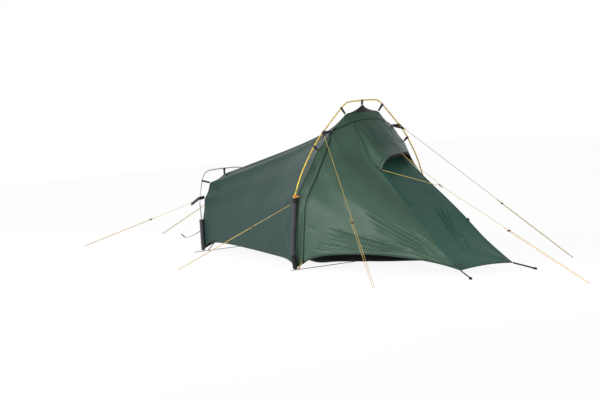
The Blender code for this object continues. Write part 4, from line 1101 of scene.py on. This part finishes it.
stitch = {
    "pitch": 0.0042,
    # one stitch's three sections: share of the pitch along it, half width and height
    "sections": ((-0.36, 0.00012, 0.0), (0.0, 0.0002, 0.00025), (0.36, 0.00012, 0.0)),
    "sunk": 0.0001,
    "crown": 0.00005,      # how far a stitch's middle line stands over its sides
    "fromEdge": 0.0012,      # how far a seam's stitches are from the tape's edge
}


def stitched(name, run, tree, reach, lift):
    # a row of thread stitches, each a small closed prism that lies on the seam
    points = resampled(run, stitch["pitch"])
    places, faces = [], []
    for point, after in zip(points, points[1:]):
        ahead = (after - point).normalized()
        normal = tree.find_nearest(point)[1]
        across = normal.cross(ahead).normalized()
        goal = point.lerp(after, 0.5) + across * reach
        spot = tree.find_nearest(goal)[0]
        centre = spot + (goal - spot) - normal * (goal - spot).dot(normal) + normal * lift
        first = len(places)
        for end, width, height in stitch["sections"]:
            middle = centre + ahead * stitch["pitch"] * end
            low = normal * stitch["sunk"]
            places += [middle - across * width - low, middle + across * width - low,
                       middle + normal * (height + stitch["crown"])]
        faces += [(first, first + 1, first + 2), (first + 8, first + 7, first + 6)]
        for a in (first, first + 3):
            faces += [(a, a + 3, a + 4, a + 1), (a + 1, a + 4, a + 5, a + 2), (a + 2, a + 5, a + 3, a)]
    return put(solidMesh(name, places, faces), "thread")


wide, narrow = (-0.005, -0.002, 0.0, 0.002, 0.005), (-0.004, 0.0, 0.004)

seams = {
    # name: run, tree, sideways distances from the run, lift, thickness, finish
    "ridgeSeam": ("ridge", "body", (-0.006, -0.002, 0.002, 0.006), 0.0004, 0.0007, "slate"),
    "hoopSeamNear": ("hoopNear", "hoop", wide, 0.0005, 0.0008, "slate"),
    "hoopSeamFar": ("hoopFar", "hoop", wide, 0.0005, 0.0008, "slate"),
    "rearSeamNear": ("rearNear", "rear", wide, 0.0005, 0.0008, "slate"),
    "rearSeamFar": ("rearFar", "rear", wide, 0.0005, 0.0008, "slate"),
    "frontSeamNear": ("seamNear", "front", wide, 0.0006, 0.0008, "teal"),
    "frontSeamFar": ("seamFar", "front", wide, 0.0006, 0.0008, "teal"),
    # this seam takes the darker copy of the green ripstop too: painted shade
    "hoodSideSeam": ("hoodSide", "top", narrow, 0.0008, 0.0008, "hoodGreen"),
    "yokeSeam": ("yokeSeam", "top", wide, 0.0006, 0.0008, "darkGreen"),
    "hoodFarSeam": ("hoodFarEdge", "hood", narrow, 0.0006, 0.0008, "darkGreen"),
}

hems = {
    "bodyHemNear": ("hemNear", "body"), "bodyHemFar": ("hemFar", "body"), "rearHem": ("hemRear", "wall"),
    "doorHem": ("hemDoor", "door"), "jambHem": ("hemJamb", "jamb"), "farFrontHem": ("hemFrontFar", "far"),
    "frontHem": ("hemFront", "panel"),
}

hem = {
    "reaches": (-0.0006, 0.003, 0.007, 0.011),      # distances in from the edge; the first folds over it
    "thickness": 0.0016,
    "sunk": 0.00045,
    "stitchesAt": 0.0095,
    "stitchLift": 0.0004,
}
hoodRim = {
    "width": 0.027,
    "bindingWidth": 0.0035,
    "skirt": 0.014,
    "skirtLean": (-0.25, 0, -1),
    "skirtOffset": (-0.0030, 0, -0.0018),
    "skirtThickness": 0.0008,
    "stitchLift": 0.0009,
}


def inwardSign(run, tree):
    # which side of a hem's run the cloth is on
    middle = len(run) // 2
    ahead = (run[middle + 1] - run[middle - 1]).normalized()
    normal = tree.find_nearest(run[middle])[1]
    across = normal.cross(ahead).normalized()
    gaps = []
    for sign in (1, -1):
        goal = run[middle] + across * 0.02 * sign
        gaps.append((tree.find_nearest(goal)[0] - goal).length)
    return 1 if gaps[0] < gaps[1] else -1


def addSeams():
    for name, (run, tree, reaches, lift, thickness, finish) in seams.items():
        put(ribbon(name, runs[run], trees[tree], reaches, lift, thickness), finish)
        for side, word in ((1, "Left"), (-1, "Right")):
            stitched(name + word + "Stitches", runs[run], trees[tree],
                     side * (reaches[-1] - stitch["fromEdge"]), lift + thickness / 2)
    for name, (run, tree) in hems.items():
        sign = inwardSign(runs[run], trees[tree])
        reaches = [sign * reach for reach in hem["reaches"]]
        put(ribbon(name, runs[run], trees[tree], reaches, -hem["sunk"], hem["thickness"]), "binding")
        stitched(name + "Stitches", runs[run], trees[tree], sign * hem["stitchesAt"], hem["stitchLift"])


def addRim():
    run, tree, width = runs["rim"], trees["hood"], hoodRim["width"]
    sign = inwardSign(run, tree)
    tapes = {
        # name: distances in from the rim, lift, thickness, finish
        "hoodRimBand": ([width * share for share in (0.02, 0.3, 0.6, 0.85, 1.0)], 0.0005, 0.0007, "green"),
        "hoodRimBinding": ([-0.0012, 0.0010, hoodRim["bindingWidth"]], -0.0002, 0.0030, "rimTape"),
        "hoodRimSeam": ([width + reach for reach in (-0.001, 0.0015, 0.004)], 0.0004, 0.0012, "darkGreen"),
    }
    for name, (reaches, lift, thickness, finish) in tapes.items():
        put(ribbon(name, run, tree, [sign * reach for reach in reaches], lift, thickness), finish)
    rows = []
    points = resampled(run, tapeStep)
    for index, point in enumerate(points):
        # the skirt narrows to nothing at the rim's near end
        taper = 1.0
        if index < len(points) / 3:
            taper = math.sin(math.pi * min(1.0, (index + 1) / len(points) * 1.5)) ** 0.5
        drop = Vector(hoodRim["skirtLean"]) * hoodRim["skirt"] * taper
        rows.append([point + drop * share + Vector(hoodRim["skirtOffset"]) for share in (0, 0.33, 0.66, 1)])
    put(thickened(gridMesh("hoodRimSkirt", rows), hoodRim["skirtThickness"]), "blackTape")
    for name, inset in (("hoodRimStitches", 0.003), ("hoodRimInnerStitches", 0.007)):
        stitched(name, run, tree, sign * (width - inset), hoodRim["stitchLift"])


addSeams()
addRim()
print("seams ready")


# reinforcements, cut from the cloth under them

patches = {
    # name: the panels under it, and planes that cut it out, each a point and the direction of the part kept
    "topPeakRear": (["flyBodyNear", "flyBodyFar"], [((0.040, 0, 1.04), (0.6, side, 0)) for side in (1, -1)]),
    "topPeakFront": (["flyYoke"], [((0.12, 0, 1.003), (0, 0, 1))]),
    "rearPeak": (["flyBodyNear", "flyBodyFar"], [((-1.475, 0, 0.55), (-1.25, side, 0)) for side in (1, -1)]),
    "guyPatchNear": (["flyYoke", "flyJamb"], [
        ((0.12, -0.236, 0.90), (0, -1, 0.1)), ((0.1, -0.3, 0.868), (0, 0, 1)),
        ((0.128, -0.26, 0.9), (-1, 0, 0.1))]),
    "guyPatchFar": (["flyYoke", "flyFrontFar"], [
        ((0.12, 0.236, 0.90), (0, 1, 0.1)), ((0.1, 0.3, 0.868), (0, 0, 1)),
        ((0.135, 0.26, 0.9), (-1, 0, 0.1))]),
    "frontCornerNear": (["flyFrontPanel"], [((1.268, -0.16, 0.07), (1, -1.1, -0.4))]),
    "frontCornerFar": (["flyFrontPanel"], [((1.268, 0.16, 0.07), (1, 1.1, -0.4))]),
    "doorCorner": (["flyDoor"], [((1.245, -0.22, 0.06), (1, 0, -0.4))]),
    "farDoorCorner": (["flyFrontFar"], [((1.245, 0.22, 0.06), (1, 0, -0.4))]),
}


patch = {"merge": 0.0012, "lift": 0.0007, "thickness": 0.0008, "stitchesIn": 0.003, "stitchLift": 0.0005}


def keepBeyond(shape, place, toward):
    # cuts a shape with a plane and keeps the part on the side that toward points to
    bmesh.ops.bisect_plane(shape, geom=[*shape.verts, *shape.edges, *shape.faces], dist=0.00001,
                           plane_co=place, plane_no=Vector(toward), clear_inner=True)


def liftedMesh(name, shape, height):
    # the shape as a new piece that lies this high over where it was
    for vertex in shape.verts:
        vertex.co += vertex.normal * height
    mesh = bpy.data.meshes.new(name)
    shape.to_mesh(mesh)
    shape.free()
    return newObject(name, mesh)


def addPatches():
    for name, (sources, planes) in patches.items():
        shape = bmesh.new()
        for source in sources:
            shape.from_mesh(layers[source].data)
        bmesh.ops.remove_doubles(shape, verts=shape.verts, dist=patch["merge"])
        for place, toward in planes:
            keepBeyond(shape, at(*place), toward)
        piece = liftedMesh(name, shape, patch["lift"])
        piece.data.shade_smooth()
        edge = boundaryPoints(piece)
        edge.append(edge[0])
        tree = surfaceTree(piece)
        thickened(piece, patch["thickness"])
        put(piece, "corner" if "Corner" in name else "charcoal")
        stitched(name + "Stitches", edge, tree, inwardSign(edge, tree) * patch["stitchesIn"],
                 patch["stitchLift"])


hemPatch = {
    "step": 0.01,
    "ends": (-1.50, -1.40),
    "reaches": (-0.0014, 0.004, 0.009, 0.013),
    "lift": 0.0006,
    "thickness": 0.0030,
}


def addHemPatch():
    # black tape over the near hem where the rear strap is sewn on
    run = resampled(runs["hemNear"], hemPatch["step"])
    first, last = (min(range(len(run)), key=lambda k: abs(run[k].x - hoopX - x)) for x in hemPatch["ends"])
    sign = inwardSign(runs["hemNear"], trees["body"])
    reaches = [sign * reach for reach in hemPatch["reaches"]]
    put(ribbon("rearHemPatch", run[first:last + 1], trees["body"], reaches, hemPatch["lift"],
               hemPatch["thickness"]), "blackTape")


seamLoop = {
    "place": (0.93, 0.17, 0.30),
    "width": 0.018,
    "height": 0.011,
    "foot": 0.0035,
    "lift": 0.0006,
    "thickness": 0.0012,
    "steps": 12,
}


def addSeamLoop():
    # a small webbing loop that stands on the front panel's far seam
    place, normal = trees["front"].find_nearest(at(*seamLoop["place"]))[:2]
    seam = runs["seamFar"]
    here = min(range(1, len(seam) - 1), key=lambda k: (seam[k] - place).length)
    ahead = (seam[here + 1] - seam[here - 1]).normalized()
    normal = (normal - ahead * normal.dot(ahead)).normalized()
    across = normal.cross(ahead)
    rows = []
    for step in range(seamLoop["steps"] + 1):
        angle = math.pi * step / seamLoop["steps"]
        rise = math.sin(angle) ** 0.7 * seamLoop["height"] + seamLoop["lift"]
        centre = seam[here] + normal * rise + across * math.cos(angle) * seamLoop["foot"]
        rows.append([centre + ahead * seamLoop["width"] * share for share in (-0.5, -0.17, 0.17, 0.5)])
    put(thickened(gridMesh("farSeamLoop", rows), seamLoop["thickness"]), "blackTape")


addPatches()
addHemPatch()
addSeamLoop()
print("reinforcements ready")


# the door zip's coils; its tape, slider and pull are among the fittings

coil = {
    "pitch": 0.0022, "reach": 0.0024, "height": 0.0011, "lift": 0.0030,
    # a tooth's sections: share of the reach across, width as a share of the pitch, and share of the height
    "sections": ((-0.35, 0.55, 0.7), (0.1, 0.7, 1.0), (0.7, 0.55, 0.9), (1.0, 0.35, 0.35)),
}


def addCoil():
    # two facing rows of small bent teeth along the zip
    points = resampled(runs["zip"], coil["pitch"])
    places, faces = [], []
    for index in range(1, len(points) - 1):
        ahead = (points[index + 1] - points[index - 1]).normalized()
        normal = trees["door"].find_nearest(points[index])[1]
        normal = (normal - ahead * normal.dot(ahead)).normalized()
        across = normal.cross(ahead)
        side = 1 if index % 2 else -1
        centre = points[index] + normal * coil["lift"]
        first = len(places)
        for reach, width, height in coil["sections"]:
            middle = centre + across * side * reach * coil["reach"]
            for x, z in ((-1, -0.4), (1, -0.4), (0.7, 1), (-0.7, 1)):
                places.append(middle + ahead * x * width * coil["pitch"] * 0.5
                              + normal * z * height * coil["height"] * 0.5)
        tooth = [(a + k, a + (k + 1) % 4, a + 4 + (k + 1) % 4, a + 4 + k)
                 for a in (first, first + 4, first + 8) for k in range(4)]
        tooth += [(first + 3, first + 2, first + 1, first), (first + 12, first + 13, first + 14, first + 15)]
        faces += tooth if side > 0 else [face[::-1] for face in tooth]
    put(solidMesh("zipCoil", places, faces), "zipCoil")


addCoil()


# webbing, tubes and moulded parts: merged copies of their nodes with rounded edges and their own finish

def smartUnwrap(piece):
    # UVs in metres for a rigid piece
    with editing(piece):
        bpy.ops.uv.smart_project(angle_limit=math.radians(60), island_margin=0.0, scale_to_bounds=False)
    mesh = piece.data
    layer = mesh.uv_layers.active.data
    flat, real = 0.0, 0.0
    for face in mesh.polygons:
        corners = [layer[i].uv for i in face.loop_indices]
        flat += abs(sum(a.x * b.y - b.x * a.y for a, b in zip(corners, corners[1:] + corners[:1]))) / 2
        real += face.area
    scale = math.sqrt(real / max(flat, 1e-12))
    for place in layer:
        place.uv = place.uv * scale


def softEdges(piece, width):
    bevel = piece.modifiers.new("edges", "BEVEL")
    bevel.width = width
    bevel.segments = 2
    bevel.limit_method = "ANGLE"
    bevel.angle_limit = math.radians(35)
    applyModifiers(piece)


guyWords = "upper_near upper_far lower_near rear_near rear_far front"


def each(start, words):
    return [start + word for word in words.split()]



fittings = [
    # finish, edge width, and the nodes that have them
    ("darkGreen", 0.0002, ["door_zip"]),
    ("webbing", 0.0003, ["main_ground_band"]),
    ("webbing", 0.0002, ["rear_ground_band"]),
    ("blackTape", 0.0002, ["front_strap_near", "front_strap_far", "rear_pull_strap"]),
    ("yellowWebbing", 0.0002, ["door_hem_loop"]),
    ("blackPlastic", 0.0004, ["zip_slider"]),
    ("blackPlastic", 0.0002, ["zip_pull"]),
    ("blackPlastic", 0.0, ["bridle_ring"]),
    ("orange", 0.0008, ["cord_lock_near", "cord_lock_far"]),
    ("webbing", 0.0002, each("main_clip_", "top high_near high_far guy_near guy_far low_near low_far")),
    ("webbing", 0.0002, each("rear_clip_", "top high_near high_far mid_near mid_far")),
    ("yellowTube", 0.0, each("main_pole_", "crown near_shoulder far_shoulder near_leg far_leg")),
    ("greyTube", 0.0, each("rear_pole_", "crown near_leg far_leg")),
    ("blackPlastic", 0.0006, each("tensioner_", guyWords)),
]

# the bodies of the pieces that move; the others are on the body tent
bodies = {"zip_slider": "slider", "zip_pull": "pull",
          **dict(zip(each("tensioner_", guyWords), each("runner_", guyWords)))}

# pieces that are taller here than their nodes, and by how much
stretched = {"rear_clip_mid_near": 1.8, "rear_clip_mid_far": 1.8, "door_hem_loop": 1.8}


def addFitting(node, finish, edge):
    piece = mergedCopy(node)
    if node in stretched:
        points = pointsOf(piece)
        foot = points[:, 2].min()
        middle = foot if node == "door_hem_loop" else (foot + points[:, 2].max()) / 2
        points[:, 2] = middle + (points[:, 2] - middle) * stretched[node]
        setPoints(piece, points)
    toQuads(piece)
    smartUnwrap(piece)
    if edge:
        softEdges(piece, edge)
    smoothBelow(piece, 50)
    isZip = node == "door_zip"
    if isZip:
        piece.name = "doorZipTape"
    put(piece, finish, node, body=bodies.get(node, "tent"), slot="webbing" if isZip else None)


for finish, edge, nodes in fittings:
    for node in nodes:
        addFitting(node, finish, edge)
print("fittings ready")


# the sleeves at the poles' feet: heavy cloth with puckers where it is sewn

sleeve = {
    "tallEdge": 0.012,      # longer upright edges are halved
    "puckerScale": (12, 12, 55),
    "pucker": 0.0012,
    "crumpleScale": 14,
    "crumple": 0.0016,
    "bandLift": 0.0006,
    "bandThickness": 0.0010,
    "footBand": 0.095,      # the heights of a main sleeve's two bands
    "topBand": 0.034,
}
# node: seed of its puckers
sleeves = {"main_sleeve_near": 21, "main_sleeve_far": 22, "rear_sleeve_near": 23, "rear_sleeve_far": 24}


def addSleeve(node, seed):
    piece = mergedCopy(node)
    toQuads(piece)
    tallEdge = sleeve["tallEdge"]
    for _ in range(5):
        with opened(piece.data) as shape:
            tall = [edge for edge in shape.edges if abs(edge.verts[0].co.z - edge.verts[1].co.z) > tallEdge]
            if tall:
                bmesh.ops.subdivide_edges(shape, edges=tall, cuts=1, use_grid_fill=True)
    smartUnwrap(piece)
    points = pointsOf(piece)
    spots = points * sleeve["puckerScale"] + (0, 0, seed)
    pucker = np.array([noise.noise(Vector(spot)) for spot in spots]) * sleeve["pucker"]
    pushOut(piece, pucker + crumple(points, sleeve["crumpleScale"], sleeve["crumple"], seed))
    smoothBelow(piece, 60)
    put(piece, "sleeve", node)
    if node.startswith("main"):
        heights = pointsOf(piece)[:, 2]
        sleeveBand(piece, "Foot", heights.min() - 0.001, heights.min() + sleeve["footBand"])
        sleeveBand(piece, "Top", heights.max() - sleeve["topBand"], heights.max() + 0.001)


def sleeveBand(piece, word, low, high):
    # black webbing round a sleeve between two heights
    shape = bmesh.new()
    shape.from_mesh(piece.data)
    keepBeyond(shape, (0, 0, low), (0, 0, 1))
    keepBeyond(shape, (0, 0, high), (0, 0, -1))
    rings = {}
    for vertex in shape.verts:
        rings.setdefault(round(vertex.co.z, 2), []).append(vertex.co)
    centres = {height: sum(ring, Vector()) / len(ring) for height, ring in sorted(rings.items())}
    inner = []
    for face in shape.faces:
        centre = face.calc_center_median()
        outward = centre - centres[min(centres, key=lambda height: abs(height - centre.z))]
        outward.z = 0
        if face.normal.dot(outward) <= 0 or abs(face.normal.z) > 0.7:
            inner.append(face)
    bmesh.ops.delete(shape, geom=inner, context="FACES")
    band = thickened(liftedMesh(piece.name + word, shape, sleeve["bandLift"]), sleeve["bandThickness"])
    smoothBelow(band, 60)
    put(band, "blackTape")


for node, seed in sleeves.items():
    addSleeve(node, seed)
print("sleeves ready")


# the inner tent

inner = {
    # node: a point outside it, its finish, and what it rests on
    "inner_canopy": ((0, 0, 9), "inner", ["inner_floor", "flyBodyNear", "flyBodyFar"]),
    "inner_floor": ((0, 0, -9), "floorCloth", ["rear_ground_band", "inner_canopy"]),
}

innerWaves = {"scale": 6.0, "height": 0.006, "seed": 31, "edge": 0.03}

for node, (outside, finish, holders) in inner.items():
    piece = outerLayer(node, outside)
    cut = unwrapInMetres(piece)
    subdivided(piece, 2)
    points = pointsOf(piece)
    rise = crumple(points, innerWaves["scale"], innerWaves["height"], innerWaves["seed"])
    rise *= edgeMask(piece, points, innerWaves["edge"])
    finishSheet(piece, rise, finish, node)
print("inner tent ready")


# guy lines and the hood's bridle

cord = {"radius": 0.0015, "sides": 10, "strandGap": 0.012}
knots = {
    "from": 0.005,      # how far down the line a knot starts
    "radius": 0.0030,
    "rise": 0.0031,      # how far each turn moves on
    "cord": 0.96,
    "sides": 8,
    "steps": 30,
    "perTurn": 12,
}

lines = {
    # start, peg point, and how far up the line the loose end reaches, as a share from the start
    "upper_near": ((0.1349, -0.3333, 0.8673), (1.218, -0.815, 0.0018), 0.56),
    "upper_far": ((0.1349, 0.3333, 0.8673), (1.218, 0.815, 0.0018), 0.56),
    "lower_near": ((0.0217, -0.5616, 0.4338), (-0.781, -0.950, 0.0018), 0.30),
    "rear_near": ((-1.6683, -0.2421, 0.3518), (-2.820, -0.497, 0.0018), 0.34),
    "rear_far": ((-1.616, 0.1986, 0.4978), (-3.000, 0.320, 0.0018), 0.33),
    "front": ((0.9042, 0.001, 0.5333), (2.240, 0.0, 0.0018), 0.45),
}

# the bridle's way from the hood's near corner through the ring and back to its far corner
bridleRoute = [
    (0.48, -0.14, 0.638), (0.8829, -0.0052, 0.5381), (0.8853, -0.0035, 0.5382), (0.8867, -0.0012, 0.5392),
    (0.887, 0.0011, 0.5409), (0.8859, 0.003, 0.5429), (0.8838, 0.0039, 0.5446), (0.5049, 0.0042, 0.7363),
]


def tube(name, path, radius, sides):
    # a round closed tube along a path, with its UVs in turns round it and metres along it
    rows, side = [], None
    for index, point in enumerate(path):
        run = directionAt(path, index)
        if side is None:
            side = run.cross(Vector((0, 0, 1))).normalized()
        side = (side - run * side.dot(run)).normalized()
        up = run.cross(side)
        rows.append([point + (side * math.cos(angle) + up * math.sin(angle)) * radius
                     for angle in (math.tau * k / sides for k in range(sides))])
    piece = gridMesh(name, rows, stepLengths(path), [k / sides for k in range(sides + 1)])
    with opened(piece.data) as shape:
        bmesh.ops.recalc_face_normals(shape, faces=shape.faces)
    smoothBelow(piece, 50)
    return piece


def lineRoute(start, peg, share):
    # from the start to the peg loop, round it, and back beside the line to the loose end
    run = (peg - start).normalized()
    side = run.cross(Vector((0, 0, 1))).normalized()
    turn = cord["strandGap"] / 2
    centre = peg - run * turn + side * turn
    path = [start.lerp(centre - side * turn, k / 12) for k in range(12)]
    path += [centre - side * turn * math.cos(math.radians(a)) + run * turn * math.sin(math.radians(a))
             for a in range(0, 181, 15)]
    back = start.lerp(peg, share) + side * cord["strandGap"]
    return path + [(centre + side * turn).lerp(back, k / 8) for k in range(1, 9)]


def knot(name, place, run):
    # a few tight wraps of cord round the line
    side = run.cross(Vector((0, 0, 1))).normalized()
    up = run.cross(side)
    radius, perTurn = knots["radius"], knots["perTurn"]
    path = []
    for k in range(knots["steps"] + 1):
        angle = math.tau * k / perTurn
        path.append(place + run * (knots["rise"] * k / perTurn) + side * math.cos(angle) * radius
                    + up * math.sin(angle) * radius)
    return put(tube(name, path, cord["radius"] * knots["cord"], knots["sides"]), "guyLine")


def addLines():
    for word, (start, peg, share) in lines.items():
        start, peg = at(*start), at(*peg)
        path = lineRoute(start, peg, share)
        node = "guy_line_" + word
        line = put(tube(camel(node), path, cord["radius"], cord["sides"]), "guyLine", node)
        run = (peg - start).normalized()
        first = knot(line.name + "Knot", start + run * knots["from"], run)
        bpy.data.objects[camel("tensioner_" + word)]
    points = [at(*place) for place in bridleRoute]
    path = [points[0].lerp(points[1], k / 8) for k in range(8)] + points[1:-1]
    path += [points[-2].lerp(points[-1], k / 8) for k in range(1, 9)]
    bridle = put(tube("hoodBridle", path, cord["radius"], cord["sides"]), "guyLine", "hood_bridle")


addLines()
print("guy lines ready")


# the layers that the seams were laid on aren't part of the tent

for layer in layers.values():
    bpy.data.objects.remove(layer)
